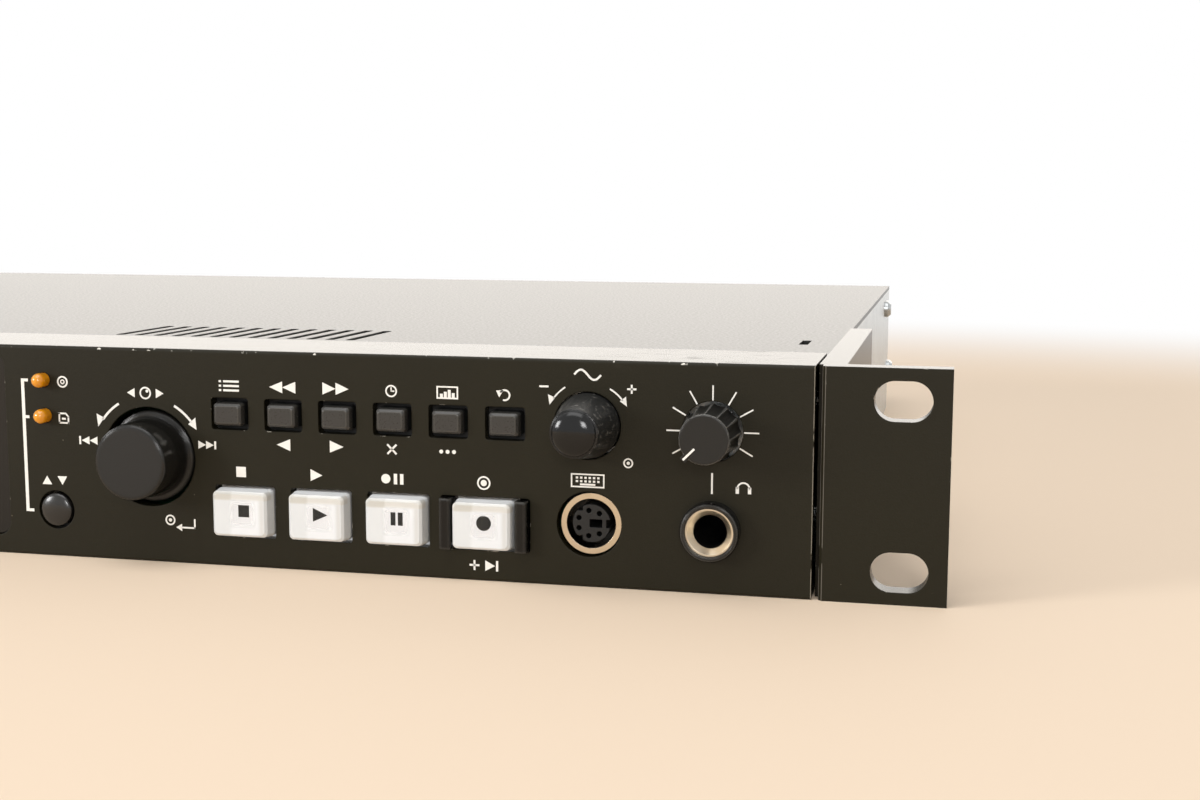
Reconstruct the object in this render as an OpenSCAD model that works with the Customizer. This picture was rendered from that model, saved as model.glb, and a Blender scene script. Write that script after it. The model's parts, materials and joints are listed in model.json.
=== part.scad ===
// Rackmount disc recorder, one unit high, with a slim tray drive and a card slot.
// X runs along the front, Y runs from the front to the rear and Z is up, in millimetres.
// Panel places are given as [x, z] from the middle of the panel's lower edge.

/* [Case] */
// Width of the front panel between the rack ears
panel_w = 433; // [430:0.5:436]
// Height of the front panel
panel_h = 44; // [43.4:0.1:46]
// Thickness of the front panel
panel_t = 2.5; // [2:0.1:2.8]
// Depth of the panel's top and bottom returns
return_d = 25; // [22:0.5:30]
// Thickness of the panel's returns
return_t = 1.4; // [1:0.1:1.4]
// Depth of the case from the panel face to the rear panel
case_d = 283; // [270:1:310]
// Thickness of the sheet steel
sheet_t = 1.2; // [0.8:0.1:1.5]
// Step from the panel's top down to the cover
cover_drop = 0.6; // [0.2:0.1:0.8]
// How far the case stands out past each end of the panel
case_reveal = 0.5; // [0.3:0.1:0.7]

/* [Rack ears] */
// Overall width across the ears
rack_w = 482.6; // [481:0.1:484]
// Thickness of the ear plate
ear_t = 4.5; // [3:0.1:5]
// Gap between the panel and an ear
ear_gap = 1.3; // [0.8:0.1:2]
// Thickness of the ear's side flange
ear_flange_t = 5; // [3:0.1:6]
// Depth of the ear's side flange
ear_flange_d = 86; // [84:1:95]
// Fillet behind the ear plate
ear_fillet = 1; // [0.6:0.1:4]
// Distance from an ear's outer edge to the middle of its slots
slot_inset = 8.75; // [8:0.05:9.5]
// Distance between the upper and lower rack slots
slot_rise = 31.75; // [31:0.05:32]
// Length of a rack slot
slot_l = 10.6; // [9:0.1:12]
// Width of a rack slot
slot_w = 7.5; // [6.5:0.1:8]

/* [Small keys] */
// Middle of the first small key
key_x = 99.95; // [99:0.05:101]
// Distance from key to key
key_pitch = 11.48; // [11.3:0.01:11.6]
// Height of the small keys' middles
key_z = 31.2; // [30:0.1:32]
// Opening for a small key, width and height
key_open = [8, 6.5];
// Small key at the panel, width and height
key_size = [6.15, 4.65];
// Small key at its front face, width and height
key_front = [5.8, 4.3];
// How far a small key stands out
key_reach = 1.5; // [1:0.1:2.5]

/* [Transport keys] */
// Middle of the stop key
stop_x = 102.9; // [102:0.1:103.5]
// Middle of the play key
play_x = 119.2; // [118.6:0.1:119.8]
// Middle of the pause key
pause_x = 135.4; // [134.8:0.1:135.6]
// Middle of the record key
record_x = 153.2; // [152.9:0.1:154]
// Height of the transport keys' middles
transport_z = 11.4; // [11:0.1:12]
// Opening for a transport key, width and height
transport_open = [12.9, 10.6];
// Clear cap at its base, width and height
cap_size = [12.2, 9.6];
// Clear cap at its front face, width and height
cap_front = [11.6, 9.1];
// How far a clear cap stands out
cap_reach = 3; // [2:0.1:4]
// Thickness of the clear cap's front
cap_wall = 2.6; // [1.6:0.1:3]
// White core inside a clear cap, width and height
core_size = [8.4, 6.6];
// Width of the record key's opening
record_open_w = 18.2; // [17.8:0.1:18.8]
// How far the record key's guard bars stand out
guard_reach = 2.2; // [1:0.1:3]

/* [Knobs] */
// Middle of the jog knob
jog_at = [81.9, 21.8];
// Diameter of the jog knob's opening
jog_open_d = 20.5; // [20:0.1:21]
// Diameter of the jog knob's front face
jog_face_d = 15.2; // [14:0.1:15.6]
// Diameter of the jog knob at the panel
jog_base_d = 16.3; // [16:0.1:17]
// Diameter of the jog knob's sunk skirt
jog_skirt_d = 18.8; // [18:0.1:19.2]
// How far the jog knob stands out
jog_reach = 8; // [6:0.1:10]
// Middle of the pitch knob
pitch_at = [173.6, 31.4];
// Diameter of the pitch knob at the panel
pitch_base_d = 12.5; // [11.5:0.1:13.5]
// Diameter of the pitch knob's front
pitch_face_d = 9.2; // [8.5:0.1:10]
// How far the pitch knob stands out
pitch_reach = 12.4; // [11:0.1:14]
// Middle of the headphone level knob
phones_at = [197.65, 31.1];
// Diameter of the headphone knob at the panel
phones_base_d = 10.9; // [10:0.1:12]
// Diameter of the headphone knob's front
phones_face_d = 8.8; // [8:0.1:9.4]
// How far the headphone knob stands out
phones_reach = 10.5; // [9:0.1:11]
// Number of flutes round the headphone knob
flutes = 12; // [10:1:14]

/* [Sockets and lamps] */
// Middle of the keyboard socket
keyboard_at = [174, 12.3];
// Diameter of the keyboard socket's opening
keyboard_open_d = 12.8; // [12.6:0.1:13.4]
// Outer diameter of the keyboard socket's metal shell
keyboard_shell_d = 11.9; // [11.6:0.1:12.1]
// Middle of the headphone jack
jack_at = [197.55, 12.3];
// Diameter of the headphone plug's bore
jack_bore_d = 6.4; // [6.35:0.01:6.5]
// Length of the headphone plug's bore
jack_bore_l = 31; // [29:0.5:34]
// Outer diameter of the headphone ferrule
ferrule_d = 11.4; // [11:0.1:12]
// How far the headphone ferrule stands out
ferrule_reach = 2.8; // [2:0.1:3.5]
// Diameter of a media lamp
lamp_d = 3; // [2.6:0.1:3.2]
// Middles of the media lamps
lamps_at = [[58.45, 36.9], [58.6, 29.5]];
// Middle of the select button
select_at = [60.45, 9.85];
// Diameter of the select button's opening
select_open_d = 8.1; // [7.6:0.1:8.6]
// Diameter of the select button
select_d = 6.9; // [6.4:0.1:7.2]

/* [Display] */
// Left edge of the display opening
display_left = -43; // [-45:0.5:-40]
// Right edge of the display opening
display_right = 49.6; // [48:0.1:49.8]
// Lower edge of the display opening
display_low = 3.9; // [3.6:0.1:5]
// Corner radius of the display opening
display_r = 3; // [1:0.1:4]

/* [Disc drive] */
// Middle of the disc tray
drive_x = -118; // [-119:0.5:-117]
// How far the tray front stands out past the tray at each end
tray_front_lap = 1; // [0.8:0.05:1.5]
// Height of the tray front
tray_front_h = 13.2; // [13:0.1:13.6]
// Width of the tray
tray_w = 126; // [125.4:0.1:126.2]
// Length of the tray behind its front
tray_l = 161; // [155:1:165]
// Height of the tray's underside
tray_bottom = 26; // [26:0.1:26.4]
// Height of the tray's walls
tray_h = 8; // [8:0.1:8.6]
// Diameter of the disc pocket
pocket_d = 121.2; // [120.6:0.1:122]
// Diameter of the small-disc pocket
small_pocket_d = 81; // [80.4:0.1:82]

/* [Card slot and power] */
// Middle of the card slot
card_at = [-123, 11.5];
// Card opening, width and height
card_open = [50, 11];
// Card socket mouth, width and height
card_mouth = [43.6, 5];
// Middle of the power switch
power_at = [-200, 22];
// Power switch body, width and height
power_size = [11, 19];

/* [Hidden] */
$fn = 64;
cut = 1;                      // overrun of a cutting solid
gap = 0.3;                    // running gap between a moving piece and its surround
slip = 0.05;                  // gap between two pieces that are fixed together
side_x = panel_w / 2 + case_reveal;
cover_z = panel_h - cover_drop - sheet_t;
rear_flange_t = 2;
front_y = (pitch_reach - case_d - rear_flange_t) / 2;

// Places along the front suit a panel of this half width. On another width those on the right keep to the
// right end, those on the left to the left end, and the display between them takes the difference.
drawn_half_w = 216.5;
function along(x) = x + sign(x) * (panel_w / 2 - drawn_half_w);
function spread(spot) = [along(spot[0]), spot[1]];
jog_mid = spread(jog_at);
pitch_mid = spread(pitch_at);
phones_mid = spread(phones_at);
keyboard_mid = spread(keyboard_at);
jack_mid = spread(jack_at);
lamp_mids = [for (spot = lamps_at) spread(spot)];
select_mid = spread(select_at);
card_mid = spread(card_at);
power_mid = spread(power_at);
drive_mid = along(drive_x);
stop_mid = along(stop_x);
play_mid = along(play_x);
pause_mid = along(pause_x);
record_mid = along(record_x);
display_x0 = along(display_left);
display_x1 = along(display_right);

// Panel
edge_r = 0.6;
lip_inset = 10;
lip_y = 11;
open_r = 0.6;

// Screws
screw_r = 1.45;
screw_l = 8;
screw_head_r = 2.8;
screw_head_h = 2;
thread_r = screw_r + slip;
ear_screws = [[32, 10], [32, 34], [72, 10], [72, 34]];
cover_screw_ys = [115, 255];
cover_screw_z = cover_z - 5;
rear_screw = [case_d - 8, 15];

// Ears
ear_x = panel_w / 2 + ear_gap;
slot_span = rack_w - 2 * slot_inset;
ear_chamfer = 0.6;
flange_out = side_x + ear_flange_t;
flange_lap = 1.5;             // how far the side flange runs into the ear plate

// Front board and what stands on it
board_y = 14;
board_t = 1.6;
board_x0 = along(55);
board_x1 = panel_w / 2 - 8;
board_z0 = 3.2;
board_z1 = panel_h - return_t - sheet_t - 0.4;
post_places = [[57.5, 20.4], [111.3, 22.2], [164.6, 22], [206, 22]];
posts = [for (spot = post_places) spread(spot)];
post_r = 2.4;
post_bore = 7;

// Keys: a cap, a retaining flange behind the panel and a stem that enters its switch
key_travel = 0.8;
key_flange_t = 1;
key_flange_lap = 0.7;
key_flange_y = panel_t + gap;
guard_t = 0.8;
cap_flange_y = panel_t + guard_t + gap;
stem_r = 1.5;
switch_size = 6;
switch_h = 4;
switch_floor = 0.6;
switch_bore_r = stem_r + gap;
stem_y = board_y - switch_floor - gap - key_travel;
key_xs = [for (i = [0:5]) along(key_x) + i * key_pitch];
transport_xs = [stop_mid, play_mid, pause_mid, record_mid];
switch_spots = concat([for (x = key_xs) [x, key_z]], [for (x = transport_xs) [x, transport_z]], [select_mid]);
cap_chamfer = 0.45;
cap_corner = 1;
facets = 24;
guard_bar_w = (record_open_w - transport_open[0]) / 2 - gap;
guard_bar_x = record_open_w / 2 - gap - guard_bar_w / 2;
guard_edge = 0.5;

// Rotary controls: a housing on the board, a rotor inside it and a shaft to the knob
shaft_r = 3;
shaft_fit = 0.1;
knob_grip = 5;
// Headphone knob: a flute's radius, depth and lean, the plain rim round the face and the pointer's nose
flute_r = 3;
flute_sink = 0.4;
rim_edge = 0.25;
rim_d = phones_face_d + 2 * rim_edge;
rim_h = 0.6;
flute_lean = atan((phones_base_d - rim_d) / 2 / (phones_reach - rim_h));
nose_w = 1.3;
nose_r = 5.5;
nose_turn = 225;
nose_y = 0.6;
push_travel = 0.5;
encoder_w = 12.4;
encoder_h = 7;
encoder_wall = 1;
bush_r = 4.4;
bush_h = 2.5;
rotor_r = 5;
rotor_h = 3.4;
encoder_y = board_y - encoder_h;
rotor_y = encoder_y + encoder_wall + gap;
shaft_y = rotor_y + rotor_h + gap + 0.6;
pot_w = 11;
jog_skirt_y = 0.8;
jog_skirt_t = 1.6;
jog_skirt_edge = 0.6;
jog_rim = 0.5;
jog_lean = atan((jog_base_d - jog_face_d) / 2 / jog_reach);
knob_edge = 0.7;
dome_h = 1.5;

// Sockets
keyboard_sink = 1;
keyboard_wall = 1.1;
keyboard_shell_y = 10;
keyboard_shift = 0.2;         // how far the socket sits right of its opening's middle
socket_mid = keyboard_mid + [keyboard_shift, 0];
keyboard_core_d = 7.4;
keyboard_core_sink = 0.2;
keyboard_block = [14, 12.8];
keyboard_pin_r = 0.52;
keyboard_pins = [[-2.48, 1], [-0.55, 2.48], [1.54, 1.98]];
keyboard_key = [2.5, 1.6];
keyboard_key_x = 0.86;
keyboard_groove = [1.72, 2.42];
keyboard_groove_x = 2.88;
jack_open_r = 4.9;
jack_sleeve_r = 4.6;
jack_cone_r = 4.25;
jack_cone_h = 1.2;
jack_front = 2.2;
jack_block = 13;
jack_block_y = 4;
jack_cutout = jack_block + 2 * gap;
lamp_reach = 3;
lamp_seat_r = 2.1;
lamp_seat_y = 7;
select_reach = 1;
select_flange_d = select_open_d + 2 * key_flange_lap;

// Display
display_high = panel_h - return_t;
display_mid = [(display_x0 + display_x1) / 2, (display_low + display_high) / 2];
display_size = [display_x1 - display_x0, display_high - display_low];
window_sink = 0.6;
window_fit = 0.2;
module_rim = 3;
module_d = 6.5;
screen_margin = 6;
screen_sink = 0.6;

// Disc drive, from the housing's floor upwards
drive_wall = 1;
plate_t = 1;
slide_gap = 0.5;
housing_floor = tray_bottom - plate_t - slide_gap;
housing_top = 39.5;
housing_y0 = 16;
housing_y1 = housing_y0 + tray_l;
housing_half = tray_w / 2 + slide_gap;
leg_ys = [32, 140];
leg_w = 16;
foot_w = 8;
tray_front_w = tray_w + 2 * tray_front_lap;
tray_front_y = -1;
tray_front_t = 4.5;
tray_y0 = tray_front_y + tray_front_t;
tray_y1 = tray_y0 + tray_l;
tray_top = tray_bottom + tray_h;
tray_front_z = tray_bottom + 5.2;
disc_back = 68;
disc_y = tray_y0 + disc_back;
pocket_h = 1.4;
small_pocket_h = 0.9;
notch_r = 9;
well_half = 31;               // hollow under the tray that holds the mechanism
well_front = 22;
well_rear = 70;
well_y0 = disc_y - well_front;
well_y1 = disc_y + well_rear;
well_h = 4.4;
plate_lap = 5;
well_slot_half = 12;
hub_hole_r = 17;
eject_dx = 48;
eject_z = tray_front_z - 3;
eject_size = [8.4, 2.8];
eject_reach = 0.6;
eject_travel = 1;
eject_stem_r = 1;
eject_pocket_d = 4.6;
eject_bore_l = 4;

// Spindle, sled and feed screw
stator_r = 12;
stator_h = 2.2;
spindle_r = 2;
rotor_can_r = 13.5;
rotor_can_h = 3;
platter_r = 14;
platter_z = tray_top - 0.8;
hub_r = 7.4;
hub_h = 2.8;
claw_w = 1.6;
rod_r = 1.25;
rod_dx = 17;
screw_dx = 24.5;
feed_r = 1.5;
rod_z = tray_bottom + 1.9;
lug_w = 6;
lug_t = 1;
lug_h = 3.8;
sled_start = 18;
sled_y = disc_y + sled_start;
sled_l = 14;
sled_travel = 30;
sled_half = 20.5;
sled_z0 = tray_bottom + 0.6;
sled_h = 3.4;
sled_arm = 6;
lens_r = 4.5;
lens_z = platter_z - 1;
lug_ys = [sled_y - lug_t - 1.6, sled_y + sled_l + sled_travel + 2];

// Card slot
flap_axis = [4, card_mid[1] + card_open[1] / 2 - 1.6];
flap_pin_r = 0.8;
flap_pin_l = 1.6;
flap_y = 0.8;
flap_t = 1.2;
flap_arm_w = 4;
lug_bore_r = flap_pin_r + 0.2;
flap_lug_w = 2.5;
flap_lug_d = 3;
flap_lug_h = 5;
card_y = 16;
card_body = [48, 44, 10.5];
card_body_z = 3;
card_mouth_z = card_body_z + 3.2;
card_depth = 36;
card_foot_l = 6;

// Power switch
power_flange = 1.2;
power_rim = 1.2;
power_d = 18;
rocker_open = [9, 17];
rocker_open_d = 9;
rocker_size = [8.4, 15];
rocker_pivot_y = 3;
rocker_pin_r = 0.9;
rocker_pin_l = 0.7;
rocker_tilt = 8;
rocker_reach = 2.2;
rocker_back = 3;
rocker_vee = 1;

// Inside and rear
standoff_r = 3;
standoff_h = 7;
main_x0 = along(-40);
main_x1 = panel_w / 2 - 12;
main_y0 = 46;
main_rear_gap = 34;
main_y1 = case_d - main_rear_gap;
main_inset = 6;
main_z = sheet_t + standoff_h;
main_spots = [
    for (x = [main_x0 + main_inset, main_x1 - main_inset], y = [main_y0 + main_inset, main_y1 - main_inset])
        [x, y]
];
chip_places = [[0, 80, 24], [60, 110, 20], [120, 90, 14], [120, 150, 14]];
chips = [for (c = chip_places) [along(c[0]), c[1], c[2]]];
chip_h = 2.4;
capacitor = [8, 12];
capacitor_xs = [for (x = [40:18:166]) along(x)];
header = [along(70), along(130), 9];
supply_ends = [-206, -104];
supply_x = [for (x = supply_ends) along(x)];
supply_y0 = 192;
supply_rear_gap = 30;
supply_y1 = case_d - supply_rear_gap;
supply_h = 34;
supply_vent_w = 3;
supply_vents = 12;
rear_z = 21;
inlet_place = -170;
inlet_x = along(inlet_place);
inlet_flange = [34, 25];
inlet_body = [27.6, 20];
inlet_hole = [24.6, 16.8];
inlet_depth = 16;
inlet_d = 22;
blade = [2, 5];
blade_dx = 7;
blade_rise = 2.5;
xlr_out_places = [50, 82];
xlr_in_places = [124, 156];
xlr_out_xs = [for (x = xlr_out_places) along(x)];
xlr_in_xs = [for (x = xlr_in_places) along(x)];
xlr_flange = [26, 31];
xlr_barrel_r = 11.5;
xlr_hole_r = xlr_barrel_r + gap;
xlr_d = 21;
xlr_cavity_r = 9.3;
xlr_cavity_d = 14;
xlr_pin_r = 1.2;
xlr_pcd_r = 4;
xlr_angles = [-90, 30, 150];
xlr_ring_d = 1;

// Cover
vent_count = 13;
vent_pitch = 4.6;
vent_x = along(57);
vent_y = [33, 58];
vent_w = 2.2;
cover_slot = [2, 10];
cover_slot_at = [panel_w / 2 - 7, 53];
cover_seam = 0.3;
cover_flange_y = 92;
cover_flange_h = 10;
rear_tab = [14, 8, 24];

black = [0.19, 0.18, 0.16];
dark = [0.13, 0.13, 0.13];
key_grey = [0.32, 0.31, 0.3];
steel = [0.72, 0.73, 0.74];
nickel = [0.8, 0.79, 0.76];
board_green = [0.1, 0.32, 0.2];
white = [0.94, 0.93, 0.9];

// Moves a piece from the panel face's own frame to the middle of the object's footprint
module place() translate([0, front_y, 0]) children();

// Puts a piece at a place on the panel
module at(spot) translate([spot[0], 0, spot[1]]) children();

// Stands a flat outline up, parallel to the panel, from one depth to another
module upright(y0, y1) translate([0, y1, 0]) rotate([90, 0, 0]) linear_extrude(y1 - y0) children();

// Runs a side-view outline, given in y and z, along X
module along_x(x0, x1) translate([x0, 0, 0]) rotate([90, 0, 90]) linear_extrude(x1 - x0) children();

// Turns an outline round an axis square to the panel; the outline's height is its reach out of the panel
module turned() rotate([90, 0, 0]) rotate_extrude() children();

// A size made larger by the same amount on every side
function grown(size, by) = [size[0] + 2 * by, size[1] + 2 * by];

module slab(x0, x1, y0, y1, z0, z1) translate([x0, y0, z0]) cube([x1 - x0, y1 - y0, z1 - z0]);

module rounded(size, r) {
    square([size[0] - 2 * r, size[1]], center = true);
    square([size[0], size[1] - 2 * r], center = true);
    for (sx = [-1, 1], sy = [-1, 1])
        translate([sx * (size[0] / 2 - r), sy * (size[1] / 2 - r)]) circle(r);
}

module slot(l, w) {
    square([l - w, w], center = true);
    for (s = [-1, 1]) translate([s * (l - w) / 2, 0]) circle(w / 2);
}

// Pan-head screw with its seat at z = 0 and its head above
module screw() rotate_extrude() polygon([
    [0, -screw_l], [screw_r, -screw_l], [screw_r, 0], [screw_head_r, 0],
    [screw_head_r, screw_head_h * 0.5], [screw_head_r * 0.7, screw_head_h], [0, screw_head_h]
]);

// Case

// Side view of the panel: a channel with rounded front edges
module panel_profile() difference() {
    union() {
        translate([edge_r, 0]) square([return_d - edge_r, panel_h]);
        translate([0, edge_r]) square([return_d, panel_h - 2 * edge_r]);
        for (z = [edge_r, panel_h - edge_r]) translate([edge_r, z]) circle(edge_r);
    }
    translate([panel_t, return_t]) square([return_d, panel_h - 2 * return_t]);
}

module panel_openings() {
    translate(display_mid) rounded(display_size, display_r);
    translate([drive_mid, tray_front_z]) rounded(grown([tray_front_w, tray_front_h], gap), open_r);
    translate(card_mid) rounded(card_open, open_r);
    translate(power_mid) rounded(grown(power_size, slip), open_r);
    for (x = key_xs) translate([x, key_z]) rounded(key_open, open_r);
    for (x = [stop_mid, play_mid, pause_mid]) translate([x, transport_z]) rounded(transport_open, open_r);
    translate([record_mid, transport_z]) rounded([record_open_w, transport_open[1]], open_r);
    translate(jog_mid) circle(jog_open_d / 2);
    translate(pitch_mid) circle(pitch_base_d / 2 + gap);
    translate(phones_mid) circle(phones_base_d / 2 + gap);
    translate(keyboard_mid) circle(keyboard_open_d / 2);
    translate(jack_mid) circle(jack_open_r);
    translate(select_mid) circle(select_open_d / 2);
    for (spot = lamp_mids) translate(spot) circle(lamp_d / 2 + slip);
}

module flap_lugs() for (s = [-1, 1])
    translate([card_mid[0] + s * (card_open[0] / 2 + flap_lug_w / 2 + gap), 0, flap_axis[1]])
        upright(panel_t, panel_t + flap_lug_d) square([flap_lug_w, flap_lug_h], center = true);

module fascia() color(black) place() difference() {
    union() {
        along_x(-panel_w / 2, panel_w / 2) panel_profile();
        for (spot = posts) at(spot) upright(panel_t, board_y) circle(post_r);
        flap_lugs();
    }
    upright(-cut, panel_t + slip) panel_openings();
    for (spot = posts) at(spot) upright(board_y - post_bore, board_y + cut) circle(thread_r);
    along_x(card_mid[0] - card_open[0], card_mid[0] + card_open[0])
        translate(flap_axis) circle(lug_bore_r);
}

// Plan of the right-hand ear: a plate with a side flange and a fillet between them
module ear_plan() difference() {
    union() {
        translate([ear_x, 0]) square([rack_w / 2 - ear_x, ear_t]);
        translate([side_x, ear_t - flange_lap]) square([ear_flange_t, ear_flange_d - ear_t + flange_lap]);
        difference() {
            translate([flange_out, ear_t]) square(ear_fillet);
            translate([flange_out + ear_fillet, ear_t + ear_fillet]) circle(ear_fillet);
        }
    }
    polygon([[ear_x, 0], [ear_x + ear_chamfer, 0], [ear_x, ear_chamfer]]);
}

module rack_ears() color(black) place() difference() {
    for (s = [0, 1]) mirror([s, 0, 0]) linear_extrude(panel_h) ear_plan();
    for (sx = [-1, 1], sz = [-1, 1])
        translate([sx * slot_span / 2, 0, panel_h / 2 + sz * slot_rise / 2])
            upright(-cut, ear_t + cut) slot(slot_l, slot_w);
    for (s = [0, 1], spot = ear_screws) mirror([s, 0, 0])
        along_x(side_x - cut, flange_out + cut) translate(spot) circle(screw_r + gap);
}

module base_pan() color(steel) place() difference() {
    union() {
        slab(-side_x, side_x, return_d + cover_seam, case_d, 0, sheet_t);
        slab(lip_inset - side_x, side_x - lip_inset, lip_y, return_d + cover_seam + sheet_t,
            return_t, return_t + sheet_t);
        slab(lip_inset - side_x, side_x - lip_inset, return_d + cover_seam, return_d + cover_seam + sheet_t,
            0, return_t + sheet_t);
        for (s = [0, 1]) mirror([s, 0, 0])
            slab(side_x - sheet_t, side_x, return_d + cover_seam, case_d, 0, cover_z);
        for (spot = main_spots) translate(spot) cylinder(r = standoff_r, h = main_z);
    }
    for (s = [0, 1]) mirror([s, 0, 0]) along_x(side_x - sheet_t - cut, side_x + cut) {
        for (spot = ear_screws) translate(spot) circle(thread_r);
        for (y = cover_screw_ys) translate([y, cover_screw_z]) circle(screw_r + gap);
        translate(rear_screw) circle(screw_r + gap);
    }
}

module top_cover() color(black) place() difference() {
    union() {
        slab(-side_x, side_x, return_d + cover_seam, case_d, cover_z, cover_z + sheet_t);
        slab(lip_inset - side_x, side_x - lip_inset, lip_y, return_d + cover_seam + sheet_t,
            panel_h - return_t - sheet_t, panel_h - return_t);
        for (s = [0, 1]) mirror([s, 0, 0])
            slab(side_x - 2 * sheet_t, side_x - sheet_t, cover_flange_y, case_d - sheet_t - gap,
                cover_z - cover_flange_h, cover_z);
    }
    translate([0, 0, cover_z - cut]) linear_extrude(sheet_t + 2 * cut) {
        for (i = [0:vent_count - 1])
            translate([vent_x + i * vent_pitch, (vent_y[0] + vent_y[1]) / 2])
                rotate(90) slot(vent_y[1] - vent_y[0], vent_w);
        for (s = [-1, 1])
            translate([s * cover_slot_at[0], cover_slot_at[1]]) square(cover_slot, center = true);
    }
    for (s = [0, 1], y = cover_screw_ys) mirror([s, 0, 0])
        along_x(side_x - 2 * sheet_t - cut, side_x + cut) translate([y, cover_screw_z]) circle(thread_r);
}

module rear_panel() color(black) place() difference() {
    union() {
        slab(sheet_t - side_x, side_x - sheet_t, case_d - sheet_t, case_d, sheet_t, cover_z);
        for (s = [0, 1]) mirror([s, 0, 0])
            slab(side_x - 2 * sheet_t, side_x - sheet_t, case_d - rear_tab[0], case_d,
                rear_tab[1], rear_tab[2]);
    }
    upright(case_d - sheet_t - cut, case_d + cut) {
        translate([inlet_x, rear_z]) square(grown(inlet_body, slip), center = true);
        for (x = concat(xlr_out_xs, xlr_in_xs)) translate([x, rear_z]) circle(xlr_hole_r);
    }
    for (s = [0, 1]) mirror([s, 0, 0])
        along_x(side_x - 2 * sheet_t - cut, side_x + cut) translate(rear_screw) circle(thread_r);
}

module case_screws() color(dark) place() {
    for (s = [0, 1]) mirror([s, 0, 0]) {
        for (spot = ear_screws) translate([flange_out, spot[0], spot[1]]) rotate([0, 90, 0]) screw();
        for (y = cover_screw_ys) translate([side_x, y, cover_screw_z]) rotate([0, 90, 0]) screw();
        translate([side_x, rear_screw[0], rear_screw[1]]) rotate([0, 90, 0]) screw();
    }
    for (spot = posts) at(spot) translate([0, board_y + board_t, 0]) rotate([-90, 0, 0]) screw();
}

// Front, fixed pieces

module display_window() color("dimgray") place() at(display_mid) upright(window_sink, panel_t)
    rounded(grown(display_size, -window_fit), display_r - window_fit);

module display_module() color(dark) place() difference() {
    slab(display_x0 - module_rim, display_x1 + module_rim, panel_t, panel_t + module_d,
        return_t + module_rim / 2, display_high - window_fit);
    at(display_mid) upright(panel_t - cut, panel_t + screen_sink)
        square(grown(display_size, -screen_margin), center = true);
}

module front_board() color(board_green) place() difference() {
    slab(board_x0, board_x1, board_y, board_y + board_t, board_z0, board_z1);
    upright(board_y - cut, board_y + board_t + cut) {
        translate(jack_mid) square(jack_cutout, center = true);
        for (spot = posts) translate(spot) circle(screw_r + gap);
    }
}

module key_switches() color(dark) place() for (spot = switch_spots) at(spot) difference() {
    upright(board_y - switch_h, board_y) square(switch_size, center = true);
    upright(board_y - switch_h - cut, board_y - switch_floor) circle(switch_bore_r);
}

// Housing of a rotary control: a block with a threaded bush, hollow for its rotor
module rotary_housing(w) difference() {
    union() {
        upright(encoder_y, board_y) square(w, center = true);
        upright(encoder_y - bush_h, encoder_y) circle(bush_r);
    }
    upright(encoder_y - bush_h - cut, shaft_y + push_travel + gap) circle(shaft_r + shaft_fit);
    upright(rotor_y - gap, rotor_y + rotor_h + gap) circle(rotor_r + gap);
}

module encoders() color(nickel) place() for (spot = [jog_mid, pitch_mid]) at(spot) rotary_housing(encoder_w);

module volume_control() color(nickel) place() at(phones_mid) rotary_housing(pot_w);

module media_lamps() color("orange") place() for (spot = lamp_mids) at(spot) {
    turned() {
        translate([0, -lamp_seat_y]) square([lamp_d / 2, lamp_seat_y + lamp_reach - lamp_d / 2]);
        translate([0, lamp_reach - lamp_d / 2]) intersection() {
            circle(lamp_d / 2);
            square(lamp_d);
        }
    }
    upright(lamp_seat_y, board_y) circle(lamp_seat_r);
}

module keyboard_shell() color(nickel) place() at(socket_mid) difference() {
    upright(keyboard_sink, keyboard_shell_y) circle(keyboard_shell_d / 2);
    upright(keyboard_sink - cut, keyboard_shell_y + cut) circle(keyboard_shell_d / 2 - keyboard_wall);
}

// Six sockets in three pairs, a wide key between them and three grooves in the rim
module keyboard_insert() color(dark) place() at(socket_mid) difference() {
    union() {
        upright(keyboard_sink + keyboard_core_sink, keyboard_shell_y) circle(keyboard_core_d / 2);
        upright(keyboard_shell_y, board_y) square(keyboard_block, center = true);
    }
    upright(0, keyboard_shell_y) {
        for (s = [-1, 1]) {
            for (spot = keyboard_pins) translate([spot[0], s * spot[1]]) circle(keyboard_pin_r);
            translate(keyboard_core_d / 2 * [-1, s] + [-keyboard_groove[0], s * keyboard_groove[1]])
                square(keyboard_core_d, center = true);
        }
        translate([keyboard_key_x, 0]) square(keyboard_key, center = true);
        translate([keyboard_groove_x, -keyboard_key[1] / 2]) square([keyboard_core_d, keyboard_key[1]]);
    }
}

module phones_ferrule() color(dark) place() at(jack_mid) turned() polygon([
    [jack_sleeve_r + slip, 0], [ferrule_d / 2, 0], [ferrule_d / 2, ferrule_reach - knob_edge],
    [ferrule_d / 2 - knob_edge / 2, ferrule_reach], [jack_sleeve_r + slip, ferrule_reach]
]);

module phones_jack() color(nickel) place() at(jack_mid) difference() {
    union() {
        upright(-jack_front, jack_block_y) circle(jack_sleeve_r);
        upright(jack_block_y, jack_bore_l + jack_block_y) square(jack_block, center = true);
    }
    turned() polygon([
        [0, jack_front + cut], [jack_cone_r, jack_front + cut], [jack_cone_r, jack_front],
        [jack_bore_d / 2, jack_front - jack_cone_h],
        [jack_bore_d / 2, jack_front - jack_cone_h - jack_bore_l],
        [0, jack_front - jack_cone_h - jack_bore_l]
    ]);
}

// Two bars beside the record key, joined by a frame behind the panel
module record_guard() color(dark) place() at([record_mid, transport_z]) {
    upright(panel_t, panel_t + guard_t) difference() {
        square(grown([record_open_w, transport_open[1]], key_flange_lap), center = true);
        square(transport_open, center = true);
    }
    for (s = [-1, 1])
        translate([s * guard_bar_x, -guard_reach, gap - transport_open[1] / 2])
            linear_extrude(transport_open[1] - 2 * gap) guard_bar_plan();
}

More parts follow.
